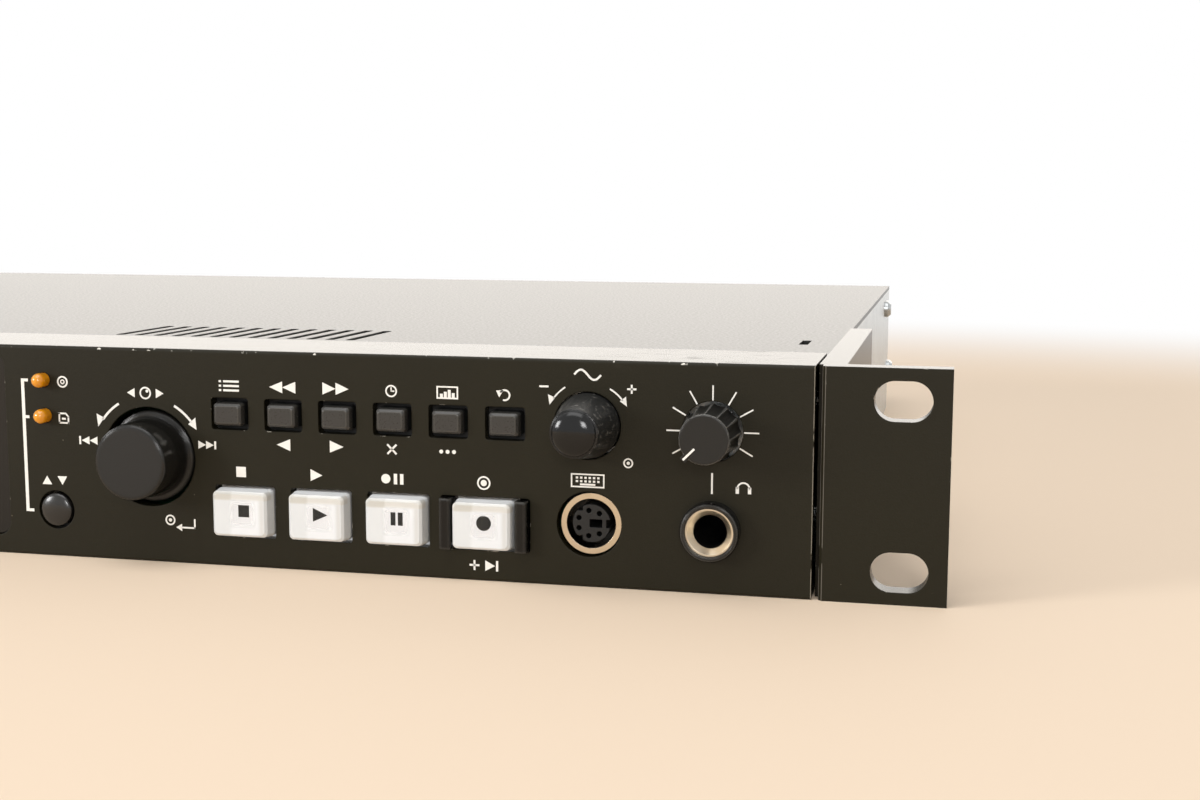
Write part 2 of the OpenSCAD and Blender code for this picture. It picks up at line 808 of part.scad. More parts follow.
// Plan of a guard bar, with its two front edges rounded
module guard_bar_plan() {
    flat = guard_bar_w / 2 - guard_edge;
    translate([-guard_bar_w / 2, guard_edge]) square([guard_bar_w, guard_reach + panel_t - guard_edge]);
    translate([-flat, 0]) square([2 * flat, guard_reach]);
    for (x = [-flat, flat]) translate([x, guard_edge]) circle(guard_edge);
}

// Front, moving pieces

// A rounded rectangle that narrows towards its front face and ends in a chamfer
module tapered_cap(base, front, corner, reach, y_back) {
    neck = reach - cap_chamfer;
    shrink = [front[0] / base[0], front[1] / base[1]];
    brow = [1 - 2 * cap_chamfer / front[0], 1 - 2 * cap_chamfer / front[1]];
    upright(0, y_back) rounded(base, corner);
    rotate([90, 0, 0]) {
        linear_extrude(neck, scale = shrink, slices = 1, $fn = facets) rounded(base, corner);
        translate([0, 0, neck])
            linear_extrude(cap_chamfer, scale = brow, slices = 1, $fn = facets)
                scale(shrink) rounded(base, corner);
    }
}

// The flange and stem that every key has behind the panel
module key_tail(flange, y0) {
    upright(y0, y0 + key_flange_t) square(flange, center = true);
    upright(y0 + key_flange_t, stem_y) circle(stem_r);
}

module small_key(index) color(key_grey) place() at([key_xs[index], key_z]) {
    tapered_cap(key_size, key_front, open_r, key_reach, key_flange_y);
    key_tail(grown(key_open, key_flange_lap), key_flange_y);
}

module menu_key() small_key(0);
module back_key() small_key(1);
module forward_key() small_key(2);
module time_key() small_key(3);
module display_key() small_key(4);
module call_key() small_key(5);

module clear_cap(x) color("whitesmoke") place() at([x, transport_z]) difference() {
    tapered_cap(cap_size, cap_front, cap_corner, cap_reach, cap_flange_y);
    upright(cap_wall - cap_reach, cap_flange_y + cut)
        square(grown(core_size, slip), center = true);
}

module stop_cap() clear_cap(stop_mid);
module play_cap() clear_cap(play_mid);
module pause_cap() clear_cap(pause_mid);
module record_cap() clear_cap(record_mid);

module key_core(x) color(white) place() at([x, transport_z]) {
    upright(cap_wall - cap_reach + slip, cap_flange_y) square(core_size, center = true);
    key_tail([transport_open[0] + key_flange_lap, transport_open[1] + 2 * key_flange_lap], cap_flange_y);
}

module stop_core() key_core(stop_mid);
module play_core() key_core(play_mid);
module pause_core() key_core(pause_mid);
module record_core() key_core(record_mid);

module select_button() color(dark) place() at(select_mid) {
    turned() {
        translate([0, -key_flange_y]) square([select_d / 2, key_flange_y]);
        intersection() {
            scale([1, 2 * select_reach / select_d]) circle(select_d / 2);
            square(select_d);
        }
    }
    upright(key_flange_y, key_flange_y + key_flange_t) circle(select_flange_d / 2);
    upright(key_flange_y + key_flange_t, stem_y) circle(stem_r);
}

// Flat face with a rounded rim, and a sunk skirt with a rounded edge
module jog_knob() color(dark) place() at(jog_mid) turned() {
    brow = [jog_face_d / 2 - jog_rim, jog_reach - jog_rim];
    side = brow + jog_rim * [cos(jog_lean), sin(jog_lean)];
    hem = [jog_skirt_d / 2 - jog_skirt_edge, -jog_skirt_y - jog_skirt_edge];
    polygon([
        [shaft_r + slip, -jog_skirt_y - jog_skirt_t], [jog_skirt_d / 2, -jog_skirt_y - jog_skirt_t],
        [jog_skirt_d / 2, hem[1]], hem, [hem[0], -jog_skirt_y],
        [side[0] + (side[1] + jog_skirt_y) * tan(jog_lean), -jog_skirt_y], side, brow, [brow[0], jog_reach],
        [0, jog_reach], [0, knob_grip + slip], [shaft_r + slip, knob_grip + slip]
    ]);
    translate(brow) circle(jog_rim);
    translate(hem) circle(jog_skirt_edge);
}

module pitch_knob() color(dark) place() at(pitch_mid) turned() difference() {
    union() {
        polygon([
            [0, -panel_t], [pitch_base_d / 2, -panel_t], [pitch_base_d / 2, 0.4],
            [pitch_face_d / 2, pitch_reach - dome_h], [0, pitch_reach - dome_h]
        ]);
        translate([0, pitch_reach - dome_h]) intersection() {
            scale([1, 2 * dome_h / (pitch_face_d - knob_edge)]) circle((pitch_face_d - knob_edge) / 2);
            square(pitch_face_d);
        }
    }
    translate([0, -panel_t - cut]) square([shaft_r + slip, panel_t + cut + knob_grip + slip]);
}

// Shallow flutes between sharp ridges, a plain rim round the face and a nose for the pointer line
module phones_knob() color(dark) place() at(phones_mid) difference() {
    union() {
        upright(-cut, panel_t) circle(phones_base_d / 2 - 2 * flute_sink);
        rotate([90, 0, 0]) {
            difference() {
                cylinder(phones_reach - rim_h, d1 = phones_base_d, d2 = rim_d);
                for (i = [0:flutes - 1]) rotate((i + 0.5) * 360 / flutes)
                    translate([phones_base_d / 2 + flute_r - flute_sink, 0, 0]) rotate([0, -flute_lean, 0])
                        translate([0, 0, -cut]) cylinder(phones_reach + cut, r = flute_r);
            }
            rotate(nose_turn) translate([0, -nose_w / 2, nose_y])
                cube([nose_r, nose_w, phones_reach - nose_y]);
        }
        turned() polygon([
            [0, phones_reach - rim_h], [rim_d / 2, phones_reach - rim_h],
            [rim_d / 2, phones_reach - rim_edge], [phones_face_d / 2, phones_reach], [0, phones_reach]
        ]);
    }
    upright(-knob_grip - slip, panel_t + cut) circle(shaft_r + slip);
}

module control_shaft() upright(-knob_grip, shaft_y) circle(shaft_r);

module jog_shaft() color(steel) place() at(jog_mid) control_shaft();
module pitch_shaft() color(steel) place() at(pitch_mid) control_shaft();
module phones_shaft() color(steel) place() at(phones_mid) control_shaft();

module rotor() upright(rotor_y, rotor_y + rotor_h) difference() {
    circle(rotor_r);
    circle(shaft_r + shaft_fit);
}

module jog_rotor() color(white) place() at(jog_mid) rotor();
module pitch_rotor() color(white) place() at(pitch_mid) rotor();

// Power switch and card slot

module power_switch() color(dark) place() at(power_mid) difference() {
    union() {
        upright(-power_flange, 0)
            rounded(grown(power_size, power_rim), open_r);
        upright(0, power_d) rounded(power_size, open_r);
    }
    upright(-power_flange - cut, rocker_open_d) square(rocker_open, center = true);
    along_x(-power_size[0], power_size[0]) translate([rocker_pivot_y, 0]) circle(rocker_pin_r + shaft_fit);
}

// Shallow vee front, resting with its lower half pressed in
module power_rocker() color(dark) place() at(power_mid) translate([0, rocker_pivot_y, 0])
    rotate([rocker_tilt, 0, 0]) {
        high = rocker_size[1] / 2;
        half = rocker_size[0] / 2;
        brow = -rocker_pivot_y - rocker_reach;
        along_x(-half, half) polygon([
            [brow, -high], [rocker_back - rocker_vee, -high], [rocker_back, 0],
            [rocker_back - rocker_vee, high], [brow, high], [brow + rocker_vee, 0]
        ]);
        along_x(-half - rocker_pin_l, half + rocker_pin_l) circle(rocker_pin_r);
    }

module card_flap() color(dark) place() {
    half = card_open[0] / 2 - gap;
    low = card_mid[1] - card_open[1] / 2 + gap;
    high = card_mid[1] + card_open[1] / 2 - gap;
    slab(card_mid[0] - half, card_mid[0] + half, flap_y, flap_y + flap_t, low, high);
    for (s = [-1, 1]) translate([card_mid[0] + s * (half - flap_arm_w / 2), 0, 0])
        slab(-flap_arm_w / 2, flap_arm_w / 2, flap_y, flap_axis[0] + flap_pin_r,
            flap_axis[1] - flap_pin_r, high);
    along_x(card_mid[0] - half - flap_pin_l, card_mid[0] + half + flap_pin_l)
        translate(flap_axis) circle(flap_pin_r);
}

module card_reader() color(dark) place() translate([card_mid[0], card_y, 0]) difference() {
    union() {
        slab(-card_body[0] / 2, card_body[0] / 2, 0, card_body[1], card_body_z, card_body_z + card_body[2]);
        for (y = [return_d - card_y + foot_w / 2, card_body[1] - card_foot_l])
            slab(-card_body[0] / 2, card_body[0] / 2, y, y + card_foot_l, sheet_t, card_body_z);
    }
    slab(-card_mouth[0] / 2, card_mouth[0] / 2, -cut, card_depth, card_mouth_z, card_mouth_z + card_mouth[1]);
}

// Disc drive

module drive_housing() color(steel) place() translate([drive_mid, 0, 0]) {
    outer = housing_half + drive_wall;
    difference() {
        slab(-outer, outer, housing_y0, housing_y1 + drive_wall, housing_floor - drive_wall,
            housing_top + drive_wall);
        slab(-housing_half, housing_half, housing_y0 - cut, housing_y1, housing_floor, housing_top);
    }
    for (s = [0, 1], y = leg_ys) mirror([s, 0, 0]) {
        slab(outer - drive_wall, outer, y, y + leg_w, sheet_t, housing_floor);
        slab(outer - drive_wall, outer + foot_w, y, y + leg_w, sheet_t, sheet_t + drive_wall);
    }
}

module disc_tray() color(key_grey) place() translate([drive_mid, 0, 0]) difference() {
    slab(-tray_w / 2, tray_w / 2, tray_y0, tray_y1, tray_bottom, tray_top);
    translate([0, disc_y, tray_top - pocket_h]) cylinder(d = pocket_d, h = tray_h);
    translate([0, disc_y, tray_top - pocket_h - small_pocket_h]) cylinder(d = small_pocket_d, h = tray_h);
    for (s = [-1, 1]) translate([s * pocket_d / 2, disc_y, tray_top - pocket_h - small_pocket_h])
        cylinder(r = notch_r, h = tray_h);
    slab(-well_half, well_half, well_y0, well_y1, tray_bottom - cut, tray_bottom + well_h);
    translate([0, disc_y, tray_bottom]) cylinder(r = hub_hole_r, h = tray_h);
    slab(-well_slot_half, well_slot_half, disc_y, sled_y + sled_l + sled_travel + cut, tray_bottom, tray_top);
    at([eject_dx, eject_z]) {
        upright(tray_y0 - cut, tray_y0 + eject_pocket_d)
            square(grown(eject_size, 2 * gap + key_flange_lap), center = true);
        upright(tray_y0, tray_y0 + eject_pocket_d + eject_bore_l) circle(eject_stem_r + gap);
    }
}

module tray_front() color(black) place() at([drive_mid, tray_front_z]) difference() {
    upright(tray_front_y, tray_y0) rounded([tray_front_w, tray_front_h], open_r);
    translate([eject_dx, 0, eject_z - tray_front_z]) upright(tray_front_y - cut, tray_y0 + cut)
        rounded(grown(eject_size, gap), open_r);
}

module eject_button() color(dark) place() at([drive_mid + eject_dx, eject_z]) {
    upright(tray_front_y - eject_reach, tray_y0 + gap) rounded(eject_size, open_r);
    upright(tray_y0 + gap, tray_y0 + gap + key_flange_t)
        square(grown(eject_size, gap + key_flange_lap), center = true);
    upright(tray_y0 + key_flange_t, tray_y0 + eject_pocket_d + eject_bore_l - eject_travel - gap)
        circle(eject_stem_r);
}

// Sheet under the tray, with lugs that hold the rods and the feed screw
module mechanism_plate() color(steel) place() translate([drive_mid, 0, 0]) difference() {
    union() {
        slab(-well_half - plate_lap, well_half + plate_lap, well_y0 - plate_lap, well_y1 + plate_lap,
            tray_bottom - plate_t, tray_bottom);
        for (x = [-rod_dx, rod_dx, screw_dx], y = lug_ys)
            slab(x - lug_w / 2, x + lug_w / 2, y, y + lug_t, tray_bottom - plate_t, tray_bottom + lug_h);
    }
    for (y = lug_ys) {
        for (s = [-1, 1]) at([s * rod_dx, rod_z]) upright(y - cut, y + lug_t + cut) circle(rod_r + slip);
        at([screw_dx, rod_z]) upright(y - cut, y + lug_t + cut) circle(feed_r + shaft_fit);
    }
}

module spindle_motor() color(nickel) place() translate([drive_mid, disc_y, tray_bottom]) {
    cylinder(r = stator_r, h = stator_h);
    cylinder(r = spindle_r, h = platter_z - tray_bottom);
}

// Motor can, platter and a hub with three claws, turning on the spindle
module turntable() color(dark) place() translate([drive_mid, disc_y, 0]) {
    can_z = tray_bottom + stator_h + gap;
    difference() {
        union() {
            translate([0, 0, can_z]) cylinder(r = rotor_can_r, h = rotor_can_h);
            translate([0, 0, can_z + rotor_can_h - cut])
                cylinder(r = platter_r, h = platter_z - can_z - rotor_can_h + cut);
            translate([0, 0, platter_z - cut]) cylinder(r1 = hub_r, r2 = hub_r - 0.6, h = hub_h + cut);
        }
        translate([0, 0, can_z - cut]) cylinder(r = spindle_r + shaft_fit, h = platter_z - can_z + cut + gap);
        for (i = [0:2]) rotate(i * 120) translate([hub_r - 2, 0, platter_z + hub_h / 2])
            for (s = [-1, 1]) translate([0, s * claw_w, 0]) cube([3, 0.5, hub_h * 2], center = true);
    }
}

module laser_sled() color(dark) place() translate([drive_mid, sled_y, 0]) difference() {
    union() {
        slab(-sled_half, sled_half, 0, sled_l, sled_z0, sled_z0 + sled_h);
        slab(sled_half - cut, screw_dx + lug_w / 2, 0, sled_arm, sled_z0, sled_z0 + sled_h);
        translate([0, sled_l / 2, sled_z0]) cylinder(r = lens_r, h = lens_z - sled_z0);
    }
    for (s = [-1, 1]) at([s * rod_dx, rod_z]) upright(-cut, sled_l + cut) circle(rod_r + shaft_fit);
    at([screw_dx, rod_z]) upright(-cut, sled_l + cut) circle(feed_r + shaft_fit);
    translate([0, sled_l / 2, lens_z - 0.4]) cylinder(r = lens_r - 1.5, h = cut);
}

module sled_rods() color(nickel) place() for (s = [-1, 1])
    at([drive_mid + s * rod_dx, rod_z]) upright(lug_ys[0], lug_ys[1] + lug_t) circle(rod_r);

module feed_screw() color(nickel) place() at([drive_mid + screw_dx, rod_z])
    upright(lug_ys[0], lug_ys[1] + lug_t) circle(feed_r);

// Inside and rear

module main_board() color(board_green) place() {
    top = main_z + board_t;
    difference() {
        slab(main_x0, main_x1, main_y0, main_y1, main_z, top);
        for (spot = main_spots) translate([spot[0], spot[1], main_z - cut])
            cylinder(r = screw_r, h = board_t + 2 * cut);
    }
    for (chip = chips) slab(chip[0], chip[0] + chip[2], chip[1], chip[1] + chip[2], top, top + chip_h);
    for (x = capacitor_xs) translate([x, main_y1 - 3 * capacitor[0], top])
        cylinder(d = capacitor[0], h = capacitor[1]);
    slab(header[0], header[1], main_y0, main_y0 + main_inset, top, top + header[2]);
}

module power_supply() color(steel) place() {
    top = sheet_t + supply_h;
    pitch = (supply_x[1] - supply_x[0]) / (supply_vents + 1);
    difference() {
        slab(supply_x[0], supply_x[1], supply_y0, supply_y1, sheet_t, top);
        for (i = [1:supply_vents])
            translate([supply_x[0] + i * pitch, (supply_y0 + supply_y1) / 2, top - sheet_t])
                linear_extrude(sheet_t + cut) rotate(90) slot((supply_y1 - supply_y0) * 0.7, supply_vent_w);
    }
}

// Balanced sockets: a flanged barrel through the rear panel
module xlr_shell() {
    upright(case_d, case_d + rear_flange_t) rounded(xlr_flange, 2);
    upright(case_d - xlr_d, case_d) circle(xlr_barrel_r);
}

module input_sockets() color(dark) place() for (x = xlr_in_xs) at([x, rear_z]) difference() {
    xlr_shell();
    upright(case_d + rear_flange_t - xlr_cavity_d, case_d + rear_flange_t + cut)
        for (a = xlr_angles) rotate(a) translate([xlr_pcd_r, 0]) circle(xlr_pin_r + gap);
    upright(case_d + rear_flange_t - xlr_ring_d, case_d + rear_flange_t + cut) difference() {
        circle(xlr_cavity_r + 0.6);
        circle(xlr_cavity_r - 0.6);
    }
}

module output_sockets() color(dark) place() for (x = xlr_out_xs) at([x, rear_z]) {
    floor_y = case_d + rear_flange_t - xlr_cavity_d;
    difference() {
        xlr_shell();
        upright(floor_y, case_d + rear_flange_t + cut) circle(xlr_cavity_r);
    }
    for (a = xlr_angles) rotate([0, -a, 0]) translate([xlr_pcd_r, 0, 0])
        upright(floor_y - cut, case_d) circle(xlr_pin_r);
}

module mains_inlet() color(dark) place() at([inlet_x, rear_z]) {
    floor_y = case_d + rear_flange_t - inlet_depth;
    difference() {
        union() {
            upright(case_d, case_d + rear_flange_t) rounded(inlet_flange, 2);
            upright(case_d - inlet_d, case_d) square(inlet_body, center = true);
        }
        upright(floor_y, case_d + rear_flange_t + cut) rounded(inlet_hole, 2);
    }
    for (spot = [[-blade_dx, 0], [0, blade_rise], [blade_dx, 0]])
        at(spot) upright(floor_y - cut, case_d) square(blade, center = true);
}

fascia();
rack_ears();
base_pan();
top_cover();
rear_panel();
case_screws();
display_window();
display_module();
front_board();
key_switches();
encoders();
volume_control();
media_lamps();
keyboard_shell();
keyboard_insert();
phones_ferrule();
phones_jack();
record_guard();
jog_knob();
jog_shaft();
jog_rotor();
pitch_knob();
pitch_shaft();
pitch_rotor();
phones_knob();
phones_shaft();
menu_key();
back_key();
forward_key();
time_key();
display_key();
call_key();
stop_cap();
play_cap();
pause_cap();
record_cap();
stop_core();
play_core();
pause_core();
record_core();
select_button();
power_switch();
power_rocker();
card_reader();
card_flap();
drive_housing();
disc_tray();
tray_front();
eject_button();
mechanism_plate();
spindle_motor();
turntable();
laser_sled();
sled_rods();
feed_screw();
main_board();
power_supply();
input_sockets();
output_sockets();
mains_inlet();
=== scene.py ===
import json
import math

import bmesh
import bpy
from mathutils import Matrix, Vector


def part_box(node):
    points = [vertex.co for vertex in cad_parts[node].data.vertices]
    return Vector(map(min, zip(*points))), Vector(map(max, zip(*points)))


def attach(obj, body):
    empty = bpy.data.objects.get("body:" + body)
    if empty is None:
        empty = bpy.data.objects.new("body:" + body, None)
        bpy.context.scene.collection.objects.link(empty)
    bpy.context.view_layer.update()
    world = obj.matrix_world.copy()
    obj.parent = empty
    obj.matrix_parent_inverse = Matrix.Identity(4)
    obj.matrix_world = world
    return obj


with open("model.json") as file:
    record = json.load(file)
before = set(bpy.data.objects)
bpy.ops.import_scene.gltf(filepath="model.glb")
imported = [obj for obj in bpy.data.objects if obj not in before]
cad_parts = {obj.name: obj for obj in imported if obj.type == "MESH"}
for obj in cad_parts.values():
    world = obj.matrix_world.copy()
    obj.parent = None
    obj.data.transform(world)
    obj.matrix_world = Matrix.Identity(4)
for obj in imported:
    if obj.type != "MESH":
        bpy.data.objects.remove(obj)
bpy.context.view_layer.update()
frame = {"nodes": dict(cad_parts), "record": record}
nodes = frame["nodes"]
mm = 0.001
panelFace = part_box("fascia")[0].y
print("frame:", len(nodes), "nodes, panel face at", round(panelFace / mm, 2), "mm")


def linear(hexColour):
    parts = [int(hexColour[i:i + 2], 16) / 255 for i in (1, 3, 5)]
    return [c / 12.92 if c <= 0.04045 else ((c + 0.055) / 1.055) ** 2.4 for c in parts] + [1.0]


def add(tree, kind, inputs=None, **settings):
    made = tree.nodes.new(kind)
    for name, value in settings.items():
        setattr(made, name, value)
    for key, value in (inputs or {}).items():
        if isinstance(value, bpy.types.NodeSocket):
            tree.links.new(value, made.inputs[key])
        else:
            made.inputs[key].default_value = value
    return made


# Camera, set from the lines of the photograph: a 47 mm lens at the right-hand end, just above the top
cameraSet = {
    "lens": 47.31, "place": (0.24212, -0.42495, 0.07449), "turn": 12.889, "tilt": 7.327, "roll": 0.171, "sensor": 36,
    "near": 0.01,
}

cameraData = bpy.data.cameras.new("camera")
cameraData.lens = cameraSet["lens"]
cameraData.sensor_width = cameraSet["sensor"]
cameraData.clip_start = cameraSet["near"]
camera = bpy.data.objects.new("camera", cameraData)
bpy.context.scene.collection.objects.link(camera)
camera.matrix_world = (
    Matrix.Translation(cameraSet["place"])
    @ Matrix.Rotation(math.radians(cameraSet["turn"]), 4, "Z")
    @ Matrix.Rotation(math.radians(90 - cameraSet["tilt"]), 4, "X")
    @ Matrix.Rotation(math.radians(cameraSet["roll"]), 4, "Z")
)
bpy.context.scene.camera = camera
bpy.context.scene.view_settings.view_transform = "Standard"

# Studio: white all round, two soft lamps in front, one above, and behind a white card that only reflections show
studio = {
    "ambient": 0.4,
    "leftLamp": {"turn": -52, "rise": 14, "far": 1.8, "size": 0.46, "watts": 15.0},
    "rightLamp": {"turn": 15, "rise": 16, "far": 1.8, "size": 0.4, "watts": 8.0},
    "topLamp": {"turn": -10, "rise": 66, "far": 1.4, "size": 1.1, "watts": 9.5},
    "rearCard": {"turn": 180, "rise": 20, "far": 1.5, "size": 2.6, "watts": 33},
    "aim": (0.12, 0.0, 0.02), "card": "#fff6ea", "floor": "#f3dcc2", "floorReach": (-4, 4, -3, 6),
    "floorMiddle": (0.12, -0.15, 0.0), "whiteFrom": 0.42, "whiteTo": 0.74,
}


def seenDirectly(tree):
    ray = add(tree, "ShaderNodeLightPath").outputs
    shiny = add(tree, "ShaderNodeMath", {0: ray["Is Camera Ray"], 1: ray["Is Glossy Ray"]}, operation="MAXIMUM")
    direct = add(tree, "ShaderNodeMath", {0: shiny.outputs[0], 1: ray["Is Transmission Ray"]}, operation="MAXIMUM")
    return direct.outputs[0]


world = bpy.data.worlds.new("studio")
bpy.context.scene.world = world
world.use_nodes = True
sky = world.node_tree
sky.nodes.clear()
soft = add(sky, "ShaderNodeBackground", {"Color": linear("#ffffff"), "Strength": studio["ambient"]})
white = add(sky, "ShaderNodeBackground", {"Color": linear("#ffffff"), "Strength": 1.0})
both = add(sky, "ShaderNodeMixShader", {0: seenDirectly(sky), 1: soft.outputs[0], 2: white.outputs[0]})
add(sky, "ShaderNodeOutputWorld", {"Surface": both.outputs[0]})

for lampName in ("leftLamp", "rightLamp", "topLamp", "rearCard"):
    lamp = studio[lampName]
    lampData = bpy.data.lights.new(lampName, "AREA")
    lampData.shape = "SQUARE"
    lampData.size = lamp["size"]
    lampData.energy = lamp["watts"]
    lampObject = bpy.data.objects.new(lampName, lampData)
    turn, rise = math.radians(lamp["turn"]), math.radians(lamp["rise"])
    away = Vector((math.sin(turn) * math.cos(rise), -math.cos(turn) * math.cos(rise), math.sin(rise)))
    lampPlace = Matrix.Translation(Vector(studio["aim"]) + away * lamp["far"])
    lampObject.matrix_world = lampPlace @ away.to_track_quat("Z", "Y").to_matrix().to_4x4()
    lampObject.visible_camera = False
    if lampName == "rearCard":
        lampObject.visible_diffuse = False
        lampData.color = linear(studio["card"])[:3]
    bpy.context.scene.collection.objects.link(lampObject)

floorShape = bpy.data.meshes.new("floor")
left, right, near, far = studio["floorReach"]
floorShape.from_pydata([(left, near, 0), (right, near, 0), (right, far, 0), (left, far, 0)], [], [(0, 1, 2, 3)])
floor = bpy.data.objects.new("floor", floorShape)
bpy.context.scene.collection.objects.link(floor)
paper = bpy.data.materials.new("paleFloor")  # matt paper sweep that runs out to white
paper.use_nodes = True
sweep = paper.node_tree
sweep.nodes.clear()
flat = add(sweep, "ShaderNodeBsdfPrincipled", {"Base Color": linear(studio["floor"]), "Roughness": 0.85})
floorSpot = add(sweep, "ShaderNodeTexCoord").outputs["Object"]
fromObject = add(sweep, "ShaderNodeVectorMath", {0: floorSpot, 1: studio["floorMiddle"]}, operation="DISTANCE")
fade = add(sweep, "ShaderNodeMapRange", {
    "Value": fromObject.outputs["Value"], "From Min": studio["whiteFrom"], "From Max": studio["whiteTo"],
}, interpolation_type="SMOOTHSTEP")
share = add(sweep, "ShaderNodeMath", {0: fade.outputs[0], 1: seenDirectly(sweep)}, operation="MULTIPLY")
glow = add(sweep, "ShaderNodeEmission", {"Color": linear("#ffffff"), "Strength": 1.0})
joined = add(sweep, "ShaderNodeMixShader", {0: share.outputs[0], 1: flat.outputs[0], 2: glow.outputs[0]})
add(sweep, "ShaderNodeOutputMaterial", {"Surface": joined.outputs[0]})
floorShape.materials.append(paper)
print("studio: camera, three lamps, a card and the floor")


# Finishes. Each dictionary holds one real material, with the sizes of its patterns in millimetres. A zone is a
# part of the surface that differs: where X, Y (from the panel face) and Z lie between two values, where the
# surface faces away from the front, along edges, in noise patches or on stray specks.
def zoneMask(tree, zone, place, axes, turned):
    masks = []
    soft = zone.get("soft", 0.06)
    for axis in "XYZ":
        if axis in zone:
            low, high = zone[axis]
            value = axes.outputs[axis]
            if axis == "X" and zone.get("bothEnds"):
                value = add(tree, "ShaderNodeMath", {0: value}, operation="ABSOLUTE").outputs[0]
            middle = (low + high) / 2 * mm + (panelFace if axis == "Y" else 0)
            off = add(tree, "ShaderNodeMath", {0: value, 1: middle}, operation="SUBTRACT").outputs[0]
            off = add(tree, "ShaderNodeMath", {0: off}, operation="ABSOLUTE").outputs[0]
            half = (high - low) / 2
            masks.append(add(tree, "ShaderNodeMapRange", {
                "Value": off, "From Min": (half + soft / 2) * mm, "From Max": (half - soft / 2) * mm,
            }).outputs[0])
    if "edge" in zone or "returns" in zone:
        true = add(tree, "ShaderNodeNewGeometry").outputs["True Normal"]
        if "edge" in zone:
            facing = add(tree, "ShaderNodeVectorMath", {0: turned, 1: true}, operation="DOT_PRODUCT").outputs["Value"]
            limits = zone["edge"]
        else:
            side = add(tree, "ShaderNodeVectorMath", {0: true, 1: (0, 1, 0)}, operation="DOT_PRODUCT").outputs["Value"]
            facing = add(tree, "ShaderNodeMath", {0: side}, operation="ABSOLUTE").outputs[0]
            limits = zone["returns"]
        masks.append(add(tree, "ShaderNodeMapRange", {
            "Value": facing, "From Min": limits[0], "From Max": limits[1],
        }).outputs[0])
    if "patch" in zone:
        patch = zone["patch"]
        perMetre = [1000 / size for size in patch["mm"]]
        scaled = add(tree, "ShaderNodeVectorMath", {0: place, 1: perMetre}, operation="MULTIPLY").outputs[0]
        noise = add(tree, "ShaderNodeTexNoise", {"Vector": scaled, "Scale": 1.0, "Detail": 4.0}).outputs["Fac"]
        masks.append(add(tree, "ShaderNodeMapRange", {
            "Value": noise, "From Min": patch["from"], "From Max": patch["from"] + 0.05,
        }).outputs[0])
    if "specks" in zone:
        specks = zone["specks"]
        cells = add(tree, "ShaderNodeTexVoronoi", {"Vector": place, "Scale": 1000 / specks["mm"], "Randomness": 1.0})
        reach = specks["size"] / specks["mm"]
        masks.append(add(tree, "ShaderNodeMapRange", {
            "Value": cells.outputs["Distance"], "From Min": reach, "From Max": reach * 0.6,
        }).outputs[0])
        pick = add(tree, "ShaderNodeSeparateColor", {"Color": cells.outputs["Color"]}).outputs[0]
        chosen = add(tree, "ShaderNodeMath", {0: pick, 1: 1 - specks["share"]}, operation="GREATER_THAN")
        masks.append(chosen.outputs[0])
    mask = masks[0]
    for other in masks[1:]:
        mask = add(tree, "ShaderNodeMath", {0: mask, 1: other}, operation="MULTIPLY").outputs[0]
    return mask


def surface(name, look):
    material = bpy.data.materials.new(name)
    material.use_nodes = True
    tree = material.node_tree
    tree.nodes.clear()
    place = add(tree, "ShaderNodeTexCoord").outputs["Object"]
    axes = add(tree, "ShaderNodeSeparateXYZ", {0: place})
    cloud = add(tree, "ShaderNodeTexNoise", {"Vector": place, "Scale": 1000 / look["cloudMm"], "Detail": 3.0})
    tint = add(tree, "ShaderNodeMix", {
        0: cloud.outputs["Fac"], 6: linear(look["dark"]), 7: linear(look["light"]),
    }, data_type="RGBA")
    grain = add(tree, "ShaderNodeTexNoise", {"Vector": place, "Scale": 1000 / look["grainMm"], "Detail": 2.0})
    low, high = look["rough"]
    rough = add(tree, "ShaderNodeMapRange", {
        "Value": grain.outputs["Fac"], "From Min": 0.3, "From Max": 0.7, "To Min": low, "To Max": high,
    })
    turned = add(tree, "ShaderNodeBevel", {"Radius": look["edgeMm"] * mm}, samples=4).outputs[0]
    made = {"Base Color": tint.outputs[2], "Roughness": rough.outputs[0], **look.get("sockets", {})}
    for zone in look.get("zones", []):
        mask = zoneMask(tree, zone, place, axes, turned)
        for socket, value in zone["set"].items():
            if socket == "Base Color":
                mixed = add(tree, "ShaderNodeMix", {0: mask, 6: made[socket], 7: linear(value)}, data_type="RGBA")
                made[socket] = mixed.outputs[2]
            else:
                made[socket] = add(tree, "ShaderNodeMix", {0: mask, 2: made.get(socket, 0.0), 3: value}).outputs[0]
    if "lightPasses" in look:  # lamps and room light shine through, so the piece behind is lit
        ray = add(tree, "ShaderNodeLightPath").outputs
        shade = add(tree, "ShaderNodeMath", {0: ray["Is Shadow Ray"], 1: ray["Is Diffuse Ray"]}, operation="MAXIMUM")
        held = add(tree, "ShaderNodeMapRange", {
            "Value": shade.outputs[0], "To Min": 1.0, "To Max": 1 - look["lightPasses"],
        }).outputs[0]
        made["Alpha"] = add(tree, "ShaderNodeMath", {0: made["Alpha"], 1: held}, operation="MULTIPLY").outputs[0]
    bump = add(tree, "ShaderNodeBump", {
        "Height": grain.outputs["Fac"], "Strength": look["bump"], "Distance": look["grainMm"] * mm * 0.5,
        "Normal": turned,
    })
    shader = add(tree, "ShaderNodeBsdfPrincipled", {**made, "Normal": bump.outputs[0]})
    add(tree, "ShaderNodeOutputMaterial", {"Surface": shader.outputs[0]})
    return material


